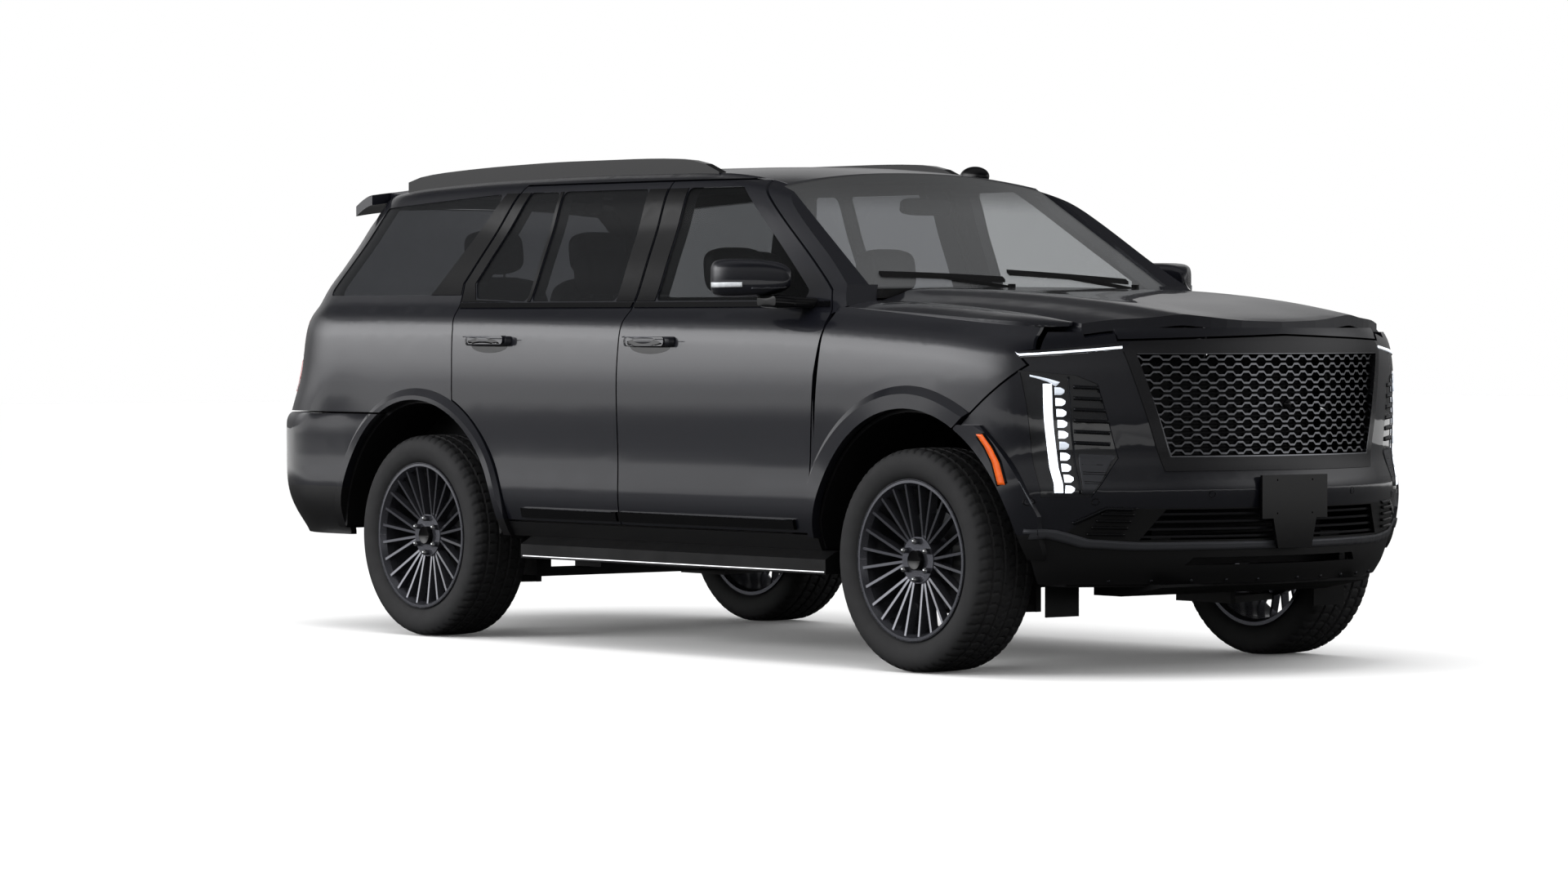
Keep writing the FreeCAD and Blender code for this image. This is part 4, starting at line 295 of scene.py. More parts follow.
slotMaterials = {
    "body_paint": paint, "gloss_black": glossBlack, "black_plastic": blackPlastic, "black_steel": blackSteel,
    "tinted_glass": clearGlass, "privacy_glass": privacyGlass, "lamp_lens": smokedLens, "red_lens": tailRed,
    "cast_block": castMetal, "radiator_metal": brazedFins(), "seat_leather": grainedLeather(),
    "tyre_rubber": tyreRubber, "wheel_metal": wheelLacquer,
}
ownMaterials = {
    "front_bumper": frontPaint, "rear_bumper": rearPaint, "body_side_left": sillPaint, "body_side_right": sillPaint,
    "windshield": shieldGlass, "grille": blackChromeMesh(grilleLook), "roof_rails": glossBlack,
}
for nodeName, piece in nodes.items():
    piece.data.materials.clear()
    piece.data.materials.append(ownMaterials.get(nodeName, slotMaterials[slotOfNode[nodeName]]))
print("stage: materials on the CAD nodes")


# small helpers for pieces

sides = ((-1, "Right"), (1, "Left"))


def smoothLine(points, count):
    # smooth curve through its points: each span blends its two ends and their neighbours by cubic weights
    p = np.asarray(points, float)
    p = np.vstack([2 * p[0] - p[1], p, 2 * p[-1] - p[-2]])
    at = np.linspace(0, len(points) - 1, count)
    i = np.minimum(at.astype(int), len(points) - 2)
    t = (at - i)[:, None]
    a, b, c, d = p[i], p[i + 1], p[i + 2], p[i + 3]
    return 0.5 * (2 * b + (c - a) * t + (2 * a - 5 * b + 4 * c - d) * t ** 2 + (3 * b - a - 3 * c + d) * t ** 3)


def evenLine(points, count):
    # points spread evenly along a polyline by its running length
    line = np.asarray(points, float)
    run = np.concatenate([[0], np.cumsum(np.linalg.norm(np.diff(line, axis=0), axis=1))])
    at = np.linspace(0, run[-1], count)
    return np.stack([np.interp(at, run, line[:, i]) for i in range(line.shape[1])], -1)


def between(first, second, rows, cols):
    # grid whose rows blend one line into another: (1 - share) times the first plus share times the second
    share = np.linspace(0, 1, rows)[:, None, None]
    return evenLine(first, cols) * (1 - share) + evenLine(second, cols) * share


def ovalLine(middle, height, halfWide, halfHigh, count=25):
    # closed oval round a middle: the half sizes times cosine and sine
    angle = np.linspace(0, 2 * np.pi, count)
    return np.stack([middle + halfWide * np.cos(angle), height + halfHigh * np.sin(angle)], -1)


def rectangle(half, bottom, top):
    # upper and lower line of a plate across the centre line
    return [(-half, top), (half, top)], [(-half, bottom), (half, bottom)]


def gridFaces(rows, cols, wrapRows=False, wrapCols=False):
    # the four corner numbers of each cell, with the last row or column joined to the first where it wraps
    number = np.arange(rows * cols).reshape(rows, cols)
    if wrapRows:
        number = np.vstack([number, number[:1]])
    if wrapCols:
        number = np.hstack([number, number[:, :1]])
    return np.stack([number[:-1, :-1], number[:-1, 1:], number[1:, 1:], number[1:, :-1]], -1).reshape(-1, 4)


def makePiece(name, points, faces, material, body, facing=None, closed=False, sharp=35.0):
    # mesh at the origin from arrays; an open sheet is turned so that its summed area faces the given way
    points = np.asarray(points, float).reshape(-1, 3)
    faces = np.asarray(faces)
    if facing is not None:
        a, b, c, d = (points[faces[:, i]] for i in range(4))
        if np.cross(c - a, d - b).sum(0) @ np.asarray(facing, float) < 0:
            faces = faces[:, ::-1]
    mesh = bpy.data.meshes.new(name)
    mesh.from_pydata(points.tolist(), [], faces.tolist())
    if closed:
        solid = bmesh.new()
        solid.from_mesh(mesh)
        bmesh.ops.remove_doubles(solid, verts=solid.verts, dist=1e-6)
        bmesh.ops.recalc_face_normals(solid, faces=solid.faces)
        solid.to_mesh(mesh)
        solid.free()
    mesh.polygons.foreach_set("use_smooth", np.ones(len(mesh.polygons), bool))
    mesh.set_sharp_from_angle(angle=math.radians(sharp))
    mesh.materials.append(material)
    piece = bpy.data.objects.new(name, mesh)
    bpy.context.scene.collection.objects.link(piece)
    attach(piece, body)
    return piece


def tubePiece(name, grid, material, body, sharp=35.0):
    # closed piece from a grid whose columns run round it
    return makePiece(name, grid, gridFaces(*grid.shape[:2], wrapCols=True), material, body, closed=True, sharp=sharp)


def bake(piece):
    # the modifiers' result becomes the piece's own mesh
    graph = bpy.context.evaluated_depsgraph_get()
    mesh = bpy.data.meshes.new_from_object(piece.evaluated_get(graph))
    old = piece.data
    piece.modifiers.clear()
    piece.data = mesh
    bpy.data.meshes.remove(old)
    return piece


def thicken(piece, thickness):
    # a sheet grows by its thickness on the side that it faces
    solid = piece.modifiers.new("wall", "SOLIDIFY")
    solid.thickness, solid.offset = thickness, 1.0
    return bake(piece)


def layOn(piece, target, lift, axis=None):
    # a sheet goes square along the axis on to the target, or to its nearest points, and stands off by the lift
    wrap = piece.modifiers.new("laid", "SHRINKWRAP")
    wrap.target, wrap.offset, wrap.wrap_mode = target, lift, "ABOVE_SURFACE"
    wrap.wrap_method = "PROJECT" if axis else "NEAREST_SURFACEPOINT"
    if axis:
        wrap.use_project_x, wrap.use_project_y, wrap.use_project_z = (name == axis for name in "xyz")
        wrap.use_positive_direction, wrap.use_negative_direction = True, True
    return bake(piece)


nose = {
    "reach": 2.679, "ahead": 0.006,
    # share of the half width and set-back there, height and set-back there, height and half width there
    "planShare": (0.0, 0.198, 0.397, 0.595, 0.734, 0.833, 0.898, 0.942, 0.972, 0.990, 0.998, 1.0),
    "planBack": (0.0, 0.016, 0.064, 0.144, 0.222, 0.290, 0.350, 0.412, 0.480, 0.560, 0.650, 0.760),
    "riseHeight": (0.324, 0.375, 0.467, 0.572, 0.705, 0.762, 1.052, 1.175, 1.231, 1.273, 1.372),
    "riseBack": (0.099, 0.052, 0.023, 0.015, 0.000, 0.015, 0.027, 0.035, 0.044, 0.057, 0.076),
    "sideHeight": (0.430, 0.495, 0.600, 0.705, 1.080, 1.197, 1.275, 1.358, 1.872),
    "sideHalf": (0.955, 0.985, 1.003, 1.002, 1.010, 1.0034, 0.988, 0.925, 0.628),
}
# where a flat strip starts before it is laid: the distance out, and the axis it moves along if not to nearest points
layFrom = {"side": (1.4, "y"), "near": (1.03, None), "tail": (-2.9, "x"), "nose": (None, None)}


def noseGuide(flat, side, ahead):
    # points of the front face: forward reach less the set-back of the plan at its share of the half width
    reach = nose["reach"] - np.interp(flat[..., 1], nose["riseHeight"], nose["riseBack"])
    share = np.abs(flat[..., 0]) / np.interp(flat[..., 1], nose["sideHeight"], nose["sideHalf"])
    back = np.interp(share, nose["planShare"], nose["planBack"])
    return np.stack([reach - back + ahead, side * flat[..., 0], flat[..., 1]], -1)


def laidPiece(name, node, plane, side, upper, lower, material, grid, lift, thickness=0.0):
    # strip between two lines, laid on a CAD node: square on to the side or the tail, or from near the side or the
    # nose's own formula to the nearest points. Lines hold (distance along the car, height) on the side and (distance
    # from the centre line, height) on the ends
    flat = between(upper, lower, *grid)
    distance, axis = layFrom[plane]
    if plane == "nose":
        points, facing = noseGuide(flat, side, nose["ahead"]), (1, 0, 0)
    elif plane == "tail":
        points, facing = np.stack([0 * flat[..., 0] + distance, side * flat[..., 0], flat[..., 1]], -1), (-1, 0, 0)
    else:
        points, facing = np.stack([flat[..., 0], 0 * flat[..., 0] + side * distance, flat[..., 1]], -1), (0, side, 0)
    piece = layOn(makePiece(name, points, gridFaces(*grid), material, bodyOf[node], facing), nodes[node], lift, axis)
    return thicken(piece, thickness) if thickness else piece


def turned(profile, centre, outward, segments, drop=0.0):
    # profile of (distance outwards, radius) turned round an axle: x and z are the radius, less any drop, times cosine
    # and sine
    angle = np.linspace(0, 2 * np.pi, segments, endpoint=False)[:, None]
    out, radius = np.asarray(profile, float).T
    radius = radius - drop
    return np.stack([centre[0] + radius * np.cos(angle), centre[1] + outward * out + 0 * angle,
                     centre[2] + radius * np.sin(angle)], -1)


def turnedFace(name, profile, centre, outward, segments, material, body):
    # open turned sheet that faces outwards
    return makePiece(name, turned(profile, centre, outward, segments), gridFaces(segments, len(profile), True),
                     material, body, (0, outward, 0))


def sweptAlong(path, section, upHint=(0, 0, 1)):
    # section of (across, up) carried along a path and closed to a point at both ends; across is the hint crossed with
    # the path's direction
    path, section = np.asarray(path, float), np.asarray(section, float)
    ahead = np.gradient(path, axis=0)
    ahead /= np.linalg.norm(ahead, axis=1)[:, None]
    across = np.cross(np.asarray(upHint, float), ahead)
    across /= np.linalg.norm(across, axis=1)[:, None]
    up = np.cross(ahead, across)
    scale = np.concatenate([[0], np.ones(len(path)), [0]])
    path, across, up = (np.vstack([v[:1], v, v[-1:]]) for v in (path, across, up))
    spread = section[None] * scale[:, None, None]
    return path[:, None] + spread[..., :1] * across[:, None] + spread[..., 1:] * up[:, None]


def roundSection(across, up, count=16, power=2.0):
    # closed superellipse section: cosine and sine raised to 2 over the power, times the half sizes
    angle = np.linspace(0, 2 * np.pi, count, endpoint=False)
    wave = np.stack([np.cos(angle), np.sin(angle)], -1)
    return np.sign(wave) * np.abs(wave) ** (2 / power) * np.array([across, up])


def repeated(points, faces, centres):
    # one small shape copied to many centres
    points, faces, centres = np.asarray(points).reshape(-1, 3), np.asarray(faces), np.asarray(centres, float)
    step = len(points) * np.arange(len(centres))[:, None, None]
    return (points[None] + centres[:, None]).reshape(-1, 3), (faces[None] + step).reshape(-1, 4)


def dome(radius, height, axis, rows=6, cols=20):
    # flattened half ball along x or y: radius times the cosine and height times the sine of the latitude
    lat = np.linspace(-0.2, np.pi / 2, rows)[:, None]
    lon = np.linspace(0, 2 * np.pi, cols, endpoint=False)[None]
    ring, rise = radius * np.cos(lat), height * np.sin(lat) + 0 * lon
    across, up = ring * np.cos(lon), ring * np.sin(lon)
    return np.stack((rise, across, up) if axis == "x" else (across, rise, up), -1), gridFaces(rows, cols, wrapCols=True)


print("stage: helpers ready")


# wheels

wheel = {
    # tyre: half section from bead to shoulder as (distance from its middle, radius), then crown and tread
    "wall": [(0.104, 0.287), (0.113, 0.2975), (0.124, 0.3055), (0.1345, 0.323), (0.1392, 0.348), (0.1385, 0.370),
             (0.132, 0.3895), (0.120, 0.4025), (0.106, 0.4082)],
    "treadHalf": 0.104, "radius": 0.4118, "crown": 0.0035, "pitches": 60, "perPitch": 8,
    "grooves": (-0.078, -0.027, 0.027, 0.078), "grooveHalf": 0.0055, "grooveDepth": 0.008, "sipeDepth": 0.0045,
    "shoulder": 0.083, "shoulderSlant": 7.0, "shoulderCut": 0.26, "rib": 0.053, "ribSlant": 9.0, "ribCut": 0.14,
    "cutEnd": 0.128, "cutRadius": 0.39,
    # hub cap and its ring, measured outwards from the hub's face
    "hubFace": 0.088, "cap": [(-0.001, 0.038), (0.0175, 0.037), (0.020, 0.034), (0.0185, 0.031), (0.0185, 0.0005)],
    "ring": (0.0165, 0.0345), "ringHalf": (0.0022, 0.0018),
    "lugs": 6, "lugCircle": 0.06985, "lugTurn": math.pi / 6, "lugOut": 0.014, "lugSize": (0.0122, 0.012),
    "disc": [(0.0012, 0.094), (0.0022, 0.098), (0.0022, 0.181), (0.0012, 0.1842)],
    "rimEdge": [(0.1252, 0.2968), (0.1262, 0.2955), (0.1254, 0.2940)],
}


def tyrePoints(values, centre, outward):
    # closed section from bead to bead turned round the axle; the radius drops in four ring grooves and, with the
    # pitch number of the angle plus a slant that grows outwards, in narrow cross grooves
    wall = smoothLine(values["wall"], 18)
    flat = np.linspace(values["treadHalf"], -values["treadHalf"], 46)
    tread = np.stack([flat, values["radius"] - values["crown"] * (flat / values["treadHalf"]) ** 2], -1)
    profile = np.vstack([wall, tread, wall[::-1] * (-1, 1)])
    out, radius = profile.T
    reach = np.abs(out)
    ring = np.any(np.abs(out[:, None] - np.array(values["grooves"])) < values["grooveHalf"], axis=1)
    count = values["pitches"] * values["perPitch"]
    angle = np.linspace(0, 2 * np.pi, count, endpoint=False)[:, None]
    onShoulder = reach > values["shoulder"]
    slant = np.where(onShoulder, values["shoulderSlant"] * (reach - values["shoulder"]),
                     values["ribSlant"] * np.abs(reach - values["rib"]))
    phase = (angle / (2 * np.pi) * values["pitches"] + slant + 0.5 * (out > 0)) % 1
    width = np.where(onShoulder, values["shoulderCut"], values["ribCut"])
    cross = (phase < width) & (reach < values["cutEnd"]) & (radius > values["cutRadius"])
    drop = values["grooveDepth"] * ring + values["sipeDepth"] * cross * (1 - ring)
    return turned(profile, centre, outward, count, drop)


def wheelSet(values, end, outward, hand):
    # treaded tyre, hub cap with its ring, lug domes, brake face and rim edge
    label, place, face = end + hand, end + "_" + hand.lower(), values["hubFace"]
    low, high = map(np.array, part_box("tyre_" + place))
    centre, body = (low + high) / 2, bodyOf["rim_" + place]
    grid = tyrePoints(values, centre, outward)
    tyre = makePiece("treadedTyre" + label, grid, gridFaces(*grid.shape[:2], True, True), slotMaterials["tyre_rubber"],
                     bodyOf["tyre_" + place], closed=True, sharp=50.0)
    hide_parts("tyre_" + place)
    profile = np.array(values["cap"]) + (face, 0)
    turnedFace("hubCap" + label, profile, centre, outward, 64, glossBlack, body)
    section = roundSection(*values["ringHalf"][::-1], 8)[:, ::-1] + np.array(values["ring"]) + (face, 0)
    makePiece("hubCapRing" + label, turned(section, centre, outward, 72), gridFaces(72, 8, True, True), brightChrome,
              body, closed=True)
    turns = np.arange(values["lugs"]) * 2 * math.pi / values["lugs"] + values["lugTurn"]
    centres = np.stack([centre[0] + values["lugCircle"] * np.cos(turns),
                        0 * turns + centre[1] + outward * (face + values["lugOut"]),
                        centre[2] + values["lugCircle"] * np.sin(turns)], -1)
    points, faces = dome(*values["lugSize"], "y")
    makePiece("lugNuts" + label, *repeated(points * (1, outward, 1), faces, centres), brightChrome, body,
              (0, outward, 0))
    turnedFace("brakeFace" + label, values["disc"], centre, outward, 96, discSteel, body)
    turnedFace("rimEdge" + label, values["rimEdge"], centre, outward, 144, darkChrome, body)


for end in ("front", "rear"):
    for side, hand in sides:
        wheelSet(wheel, end, side, hand)
print("stage: wheels")


# head lamps, one set of light guides and black slats each side

lamp = {
    "barLine": [(0.884, 1.062), (0.882, 0.932), (0.872, 0.792), (0.862, 0.672)], "barWidth": 0.024,
    "bar": (whiteGuide, (3, 40), 0.002, 0.004),
    "elements": 10, "elementDrop": 0.012, "elementInset": 0.018, "dimEvery": 5,
    "elementUpper": [(0, 0), (-0.016, -0.001), (-0.027, -0.010)],
    "elementLower": [(0, -0.028), (-0.018, -0.028), (-0.026, -0.020)],
    "element": ((4, 8), 0.002, 0.004),
    "slats": 6, "slatTop": 1.052, "slatPitch": 0.040,
    "slatUpper": [(0.700, 0), (0.812, 0.006)], "slatLower": [(0.703, -0.014), (0.811, -0.008)],
    "slat": (darkChrome, (2, 14), 0.0015, 0.006),
    "footLines": 3, "footTop": (0.700, 0.780), "footStep": (0.019, -0.034), "footEnd": 0.790, "footRise": 0.003,
    "footGap": 0.007, "footWidth": 0.0025, "foot": (glossBlack, (2, 10), 0.0046),
}
# each strip: upper and lower line of (distance from the centre line, height), then its sheet; a sheet is a material,
# (rows, columns), the lift off the CAD node and a thickness
lampStrips = {
    "dayLightHook": ([(0.925, 1.094), (0.88, 1.080), (0.85, 1.068)],
                     [(0.925, 1.088), (0.88, 1.068), (0.862, 1.052)],
                     softGuide, (2, 12), 0.002, 0.003),
    "lampDivider": ([(0.828, 1.088), (0.822, 0.9), (0.805, 0.668)],
                    [(0.822, 1.088), (0.816, 0.9), (0.799, 0.668)],
                    darkChrome, (2, 30), 0.002, 0.004),
    "lampFootPlate": ([(0.684, 0.806), (0.800, 0.812)], [(0.766, 0.668), (0.796, 0.668)],
                      satinGraphite, (8, 14), 0.0015, 0.003),
    "markerGuide": ([(0.652, 1.197), (0.958, 1.168)], [(0.652, 1.189), (0.958, 1.161)],
                    whiteGuide, (2, 40), 0.0015, 0.002),
    "markerTrim": ([(0.652, 1.184), (0.948, 1.158)], [(0.652, 1.180), (0.948, 1.155)],
                   brightChrome, (2, 40), 0.0015, 0.002),
}


def lampSet(values, side, hand):
    # bar and its lit elements down one lamp, slats across, foot plate with two thin lines in each row
    put = ("headlamps", "nose", side)
    (topY, topZ), *_, (lowY, lowZ) = values["barLine"]
    bow = smoothLine(values["barLine"], 20)
    halfBar = np.array((values["barWidth"] / 2, 0))
    laidPiece("dayLightBar" + hand, *put, bow + halfBar, bow - halfBar, *values["bar"])
    for name, strip in lampStrips.items():
        piece = laidPiece(name + hand, *put, *strip)
    for row in range(values["elements"]):
        z = topZ - values["elementDrop"] - row * (topZ - lowZ) / values["elements"]
        y = topY - (topZ - z) / (topZ - lowZ) * (topY - lowY) - values["elementInset"]
        upper, lower = (np.array(values[key]) + (y, z) for key in ("elementUpper", "elementLower"))
        laidPiece("ledElement%s%d" % (hand, row), *put, upper, lower,
                  whiteGuide if row % values["dimEvery"] else softGuide, *values["element"])
    for row in range(values["slats"]):
        drop = (0, values["slatTop"] - row * values["slatPitch"])
        laidPiece("lampSlat%s%d" % (hand, row), *put, np.array(values["slatUpper"]) + drop,
                  np.array(values["slatLower"]) + drop, *values["slat"])
    for row in range(values["footLines"]):
        y, top = np.array(values["footTop"]) + row * np.array(values["footStep"])
        for half in (0, 1):
            z = top - half * values["footGap"]
            upper = np.array([(y, z), (values["footEnd"], z + values["footRise"])])
            laidPiece("lampFootLine%s%d%d" % (hand, row, half), *put, upper, upper - (0, values["footWidth"]),
                      *values["foot"])


for side, hand in sides:
    lampSet(lamp, side, hand)
print("stage: head lamps")


# front bumper: satin lip, blades and fins beside the lower grille, parking sensors, chin fasteners; in the grille a
# camera, and baffles beside the radiator

bumper = {
    "fins": 4, "finTop": 0.598, "finPitch": 0.024, "finInner": (0.63, 0.008), "finOuter": (0.735, 0.012),
    "finRise": 0.003, "finHeight": 0.009, "fin": (glossBlack, (2, 16), 0.002, 0.010),
    "sensors": [(0.355, 0.665), (0.755, 0.640), (0.930, 0.640)], "sensorRadius": 0.0125, "ringInner": 0.8,
    "faceOuter": 0.78, "faceInner": 0.0004,
    "ring": (glossBlack, (2, 25), 0.0008, 0.0008),
    "face": (paint, (4, 25), 0.001),
    "fasteners": [0.10, 0.24, 0.38, 0.52, 0.66], "fastenerHeight": 0.352, "fastenerSize": (0.008, 0.004),
    "fastenerOut": 0.004,
}
bumperStrips = {
    "bumperLip": ([(0.0, 0.493), (0.60, 0.493), (0.76, 0.505), (0.86, 0.540), (0.955, 0.548)],
                  [(0.0, 0.464), (0.62, 0.464), (0.78, 0.474), (0.87, 0.505), (0.955, 0.512)],
                  satinGraphite, (4, 70), 0.0015, 0.005),
    "bumperBlade": ([(0.615, 0.618), (0.72, 0.622), (0.82, 0.566)],
                    [(0.640, 0.606), (0.72, 0.608), (0.81, 0.556)],
                    darkChrome, (3, 30), 0.0015, 0.004),
}
baffle = {"inner": 0.400, "outer": 0.600, "bottom": 0.780, "top": 1.180, "behind": -0.150, "thickness": 0.003}
camera = {"size": (0.017, 0.014), "place": (2.648, 0, 0.985)}


def bumperSet(values, side, hand):
    put = ("front_bumper", "nose", side)
    for name, strip in bumperStrips.items():
        laidPiece(name + hand, *put, *strip)
    for row in range(values["fins"]):
        (inner, innerStep), (outer, outerStep) = values["finInner"], values["finOuter"]
        z = values["finTop"] - row * values["finPitch"]
        upper = np.array([(inner + innerStep * row, z), (outer + outerStep * row, z + values["finRise"])])
        laidPiece("bumperFin%s%d" % (hand, row), *put, upper, upper - (0, values["finHeight"]), *values["fin"])
    for number, (y, z) in enumerate(values["sensors"]):
        rims = [ovalLine(y, z, radius, radius) for radius in (
            values["sensorRadius"], values["sensorRadius"] * values["ringInner"],
            values["sensorRadius"] * values["faceOuter"], values["faceInner"])]
        laidPiece("sensorRing%s%d" % (hand, number), *put, *rims[:2], *values["ring"])
        laidPiece("sensorFace%s%d" % (hand, number), *put, *rims[2:], *values["face"])
    heads = np.array([(y, values["fastenerHeight"]) for y in values["fasteners"]])
    heads = noseGuide(heads, side, values["fastenerOut"])
    makePiece("chinFasteners" + hand, *repeated(*dome(*values["fastenerSize"], "x", 4, 12), heads), darkChrome,
              bodyOf["front_bumper"], (1, 0, 0))


for side, hand in sides:
    bumperSet(bumper, side, hand)
    lowLine, highLine = ([(baffle["inner"], baffle[level]), (baffle["outer"], baffle[level])]
                         for level in ("bottom", "top"))
    wall = noseGuide(between(lowLine, highLine, 8, 8), side, baffle["behind"])
    thicken(makePiece("grilleBaffle" + hand, wall, gridFaces(8, 8), blackPlastic, bodyOf["grille"], (1, 0, 0)),
            baffle["thickness"])
makePiece("frontCamera", *repeated(*dome(*camera["size"], "x", 8, 24), [camera["place"]]), glossBlack,
          bodyOf["grille"], (1, 0, 0))
print("stage: front bumper")


# doors: handles on two posts over a painted shadow of their pocket, a painted highlight along each handle, side marker,
# painted highlight lines on the mouldings and bright lines on the boards

# pocket entries: a painted shadow, a gloss black oval on the door standing in for the shade in the recess under each
# handle
handle = {
    "front": (0.036, 0.318), "rear": (-1.006, -0.735), "height": 1.2085, "skin": 1.0005, "proud": 0.029, "dive": 0.22,
    "half": (0.0125, 0.0195), "power": 2.6, "pocketShadeHeight": 1.190, "pocketShadeOuter": (0.9, 0.030),
    "pocketShadeInner": (0.5, 0.004),
    "pocketShade": (glossBlack, (5, 49), 0.0006),
    # line entries: a painted highlight, a satin strip along the top of each handle standing in for the light that it
    # catches
    "highlightInset": 0.03, "highlightHeights": (1.2235, 1.2195), "line": (satinGraphite, (2, 8), 0.0425),
}
marker = {
    "line": [(2.112, 0.880), (2.150, 0.835), (2.182, 0.780), (2.206, 0.700)],
    # half width and slant of the frame and of the lens
    "sideMarkerFrame": ((0.020, 0.006), (glossBlack, (4, 24), 0.0012, 0.002)),
    "sideMarker": ((0.014, 0.0), (amberLens, (4, 24), 0.0034, 0.002)),
}
# a painted highlight: a thin dark chrome line on each lower moulding standing in for the light caught along its dark
# insert
mouldingHighlight = {
    "front": (-0.012, 1.040), "rear": (-0.655, -0.045), "startHeight": 0.5455, "endHeight": 0.5405, "width": 0.005,
    "line": (darkChrome, (2, 24), 0.0008, 0.0015),
}
board = {"from": -0.640, "to": 1.235, "out": 1.0075, "height": 0.352, "half": (0.003, 0.0045), "power": 4.0}


def handlePoints(values, start, stop, side):
    # superellipse section carried along the door; it stands off by the proud value and dives in at both ends
    share = np.linspace(0, 1, 40)
    lift = values["proud"] * np.clip(np.sin(np.pi * share), 0, 1) ** values["dive"]
    path = np.stack([start + (stop - start) * share, side * (values["skin"] + lift), values["height"] + 0 * share], -1)
    return sweptAlong(path, roundSection(*values["half"], 20, values["power"]))


def doorSet(values, end, side, hand):
    start, stop = values[end]
    door = end + "_door_" + hand.lower()
    grip = tubePiece(end + "Handle" + hand, handlePoints(values, start, stop, side), paint, bodyOf[door])
    middle, reach = (start + stop) / 2, (stop - start) / 2
    # painted shadow: gloss black oval laid on the door under the handle, standing in for the shade in its recess
    rims = [ovalLine(middle, values["pocketShadeHeight"], wide * reach, high, 49)
            for wide, high in (values["pocketShadeOuter"], values["pocketShadeInner"])]
    laidPiece(end + "HandlePocketShade" + hand, door, "side", side, *rims, *values["pocketShade"])
    # painted highlight: satin strip along the top of the handle standing in for its reflection
    inset = values["highlightInset"]
    highlightLines = [[(start + inset, z), (stop - inset, z)] for z in values["highlightHeights"]]
    laidPiece(end + "HandleHighlight" + hand, door, "side", side, *highlightLines, *values["line"])
    # painted highlight: thin line laid along the lower moulding where its insert catches the light
    start, stop = mouldingHighlight[end]
    upper = np.array([(start, mouldingHighlight["startHeight"]), (stop, mouldingHighlight["endHeight"])])
    laidPiece(end + "MouldingHighlight" + hand, end + "_trim_" + hand.lower(), "near", side, upper,
              upper - (0, mouldingHighlight["width"]), *mouldingHighlight["line"])


for side, hand in sides:
    for end in ("front", "rear"):
        doorSet(handle, end, side, hand)
    for name in ("sideMarkerFrame", "sideMarker"):
        half, sheet = marker[name]
        line = np.array(marker["line"])
        laidPiece(name + hand, "front_bumper", "side", side, line + half, line - half, *sheet)
    path = evenLine([(board[key], side * board["out"], board["height"]) for key in ("from", "to")], 30)
    tubePiece("boardStrip" + hand, sweptAlong(path, roundSection(*board["half"], 12, board["power"])), brightChrome,
              bodyOf["running_boards"])
print("stage: doors and boards")


# mirrors: rounded cap and arm in place of the plain CAD ones, clear turn signal round the outer end and a satin
# strip under the cap

mirror = {
    "rearX": 0.765, "length": 0.280, "inner": 0.985, "reach": 0.221, "middle": 1.449, "halfHigh": 0.073, "power": 4.2,
    # share of the length, share of the reach, size of the section
    "rim": ((0.09, 0.80, 0.0), (0.09, 0.80, 0.45), (0.09, 0.80, 0.86), (0.015, 0.82, 0.90)),
    "cap": ((0.0, 0.86, 0.95), (0.06, 0.93, 0.99), (0.15, 0.98, 1.0), (0.28, 1.0, 1.0), (0.44, 0.93, 0.98),
            (0.60, 0.81, 0.93), (0.76, 0.64, 0.83), (0.89, 0.46, 0.66), (0.97, 0.34, 0.44), (1.0, 0.28, 0.0)),
    # distance from the centre line, middle along the car, height, half length and half height
    "arm": ((1.078, 0.975, 1.362, 0.0, 0.0), (1.076, 0.975, 1.362, 0.055, 0.020), (1.060, 0.985, 1.360, 0.064, 0.026),
            (1.000, 1.010, 1.356, 0.056, 0.023), (0.940, 1.040, 1.354, 0.042, 0.021),
            (0.918, 1.050, 1.354, 0.038, 0.020), (0.918, 1.050, 1.354, 0.0, 0.0)),
    # line seen from above, lower and upper edge
    "turnSignal": ([(0.800, 1.214), (0.850, 1.214), (0.905, 1.206), (0.955, 1.185)], (1.412, 1.432), clearReflex),
    "mirrorStrip": ([(0.985, 1.160), (1.03, 1.10), (1.05, 1.03)], (1.400, 1.408), satinGraphite),
    "stripLift": 0.0015, "stripThickness": 0.003,
}


def mirrorGrids(values):
    # cap: superellipse sections along the car, each pinned at its inner edge; arm: ovals stacked outwards
    stations = np.vstack([values["rim"], smoothLine(values["cap"], 28)])
    along, wide, size = (stations[:, i, None] for i in range(3))
    across, up = roundSection(1.0, 1.0, 48, values["power"]).T
    cap = np.stack([values["rearX"] + values["length"] * along + 0 * across,
                    values["inner"] + values["reach"] * wide * (0.5 + 0.5 * size * across),
                    values["middle"] + values["halfHigh"] * size * up], -1)
    out, middle, level, halfLong, halfHigh = (np.array(values["arm"])[:, i, None] for i in range(5))
    arm = np.stack([middle + halfLong * across, out + 0 * across, level + halfHigh * up], -1)
    return cap, arm


capGrid, armGrid = mirrorGrids(mirror)
for side, hand in sides:
    node = "mirror_" + hand.lower()
    cap = tubePiece("mirrorCap" + hand, capGrid * (1, side, 1), paint, bodyOf[node])
    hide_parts(node)
    arm = tubePiece("mirrorArm" + hand, armGrid * (1, side, 1), glossBlack, bodyOf[node])
    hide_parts(node)
    for name in ("turnSignal", "mirrorStrip"):
        line, heights, material = mirror[name]
        run, level = smoothLine(line, 20), np.linspace(*heights, 4)[:, None]
        grid = np.stack([run[:, 0] + 0 * level, side * run[:, 1] + 0 * level, level + 0 * run[:, 0]], -1)
        strip = makePiece(name + hand, grid, gridFaces(4, 20), material, bodyOf[node], (0.2, side, 0))
        thicken(layOn(strip, cap, mirror["stripLift"]), mirror["stripThickness"])
print("stage: mirrors")


# cabin: padded seats in place of the plain CAD ones, interior mirror

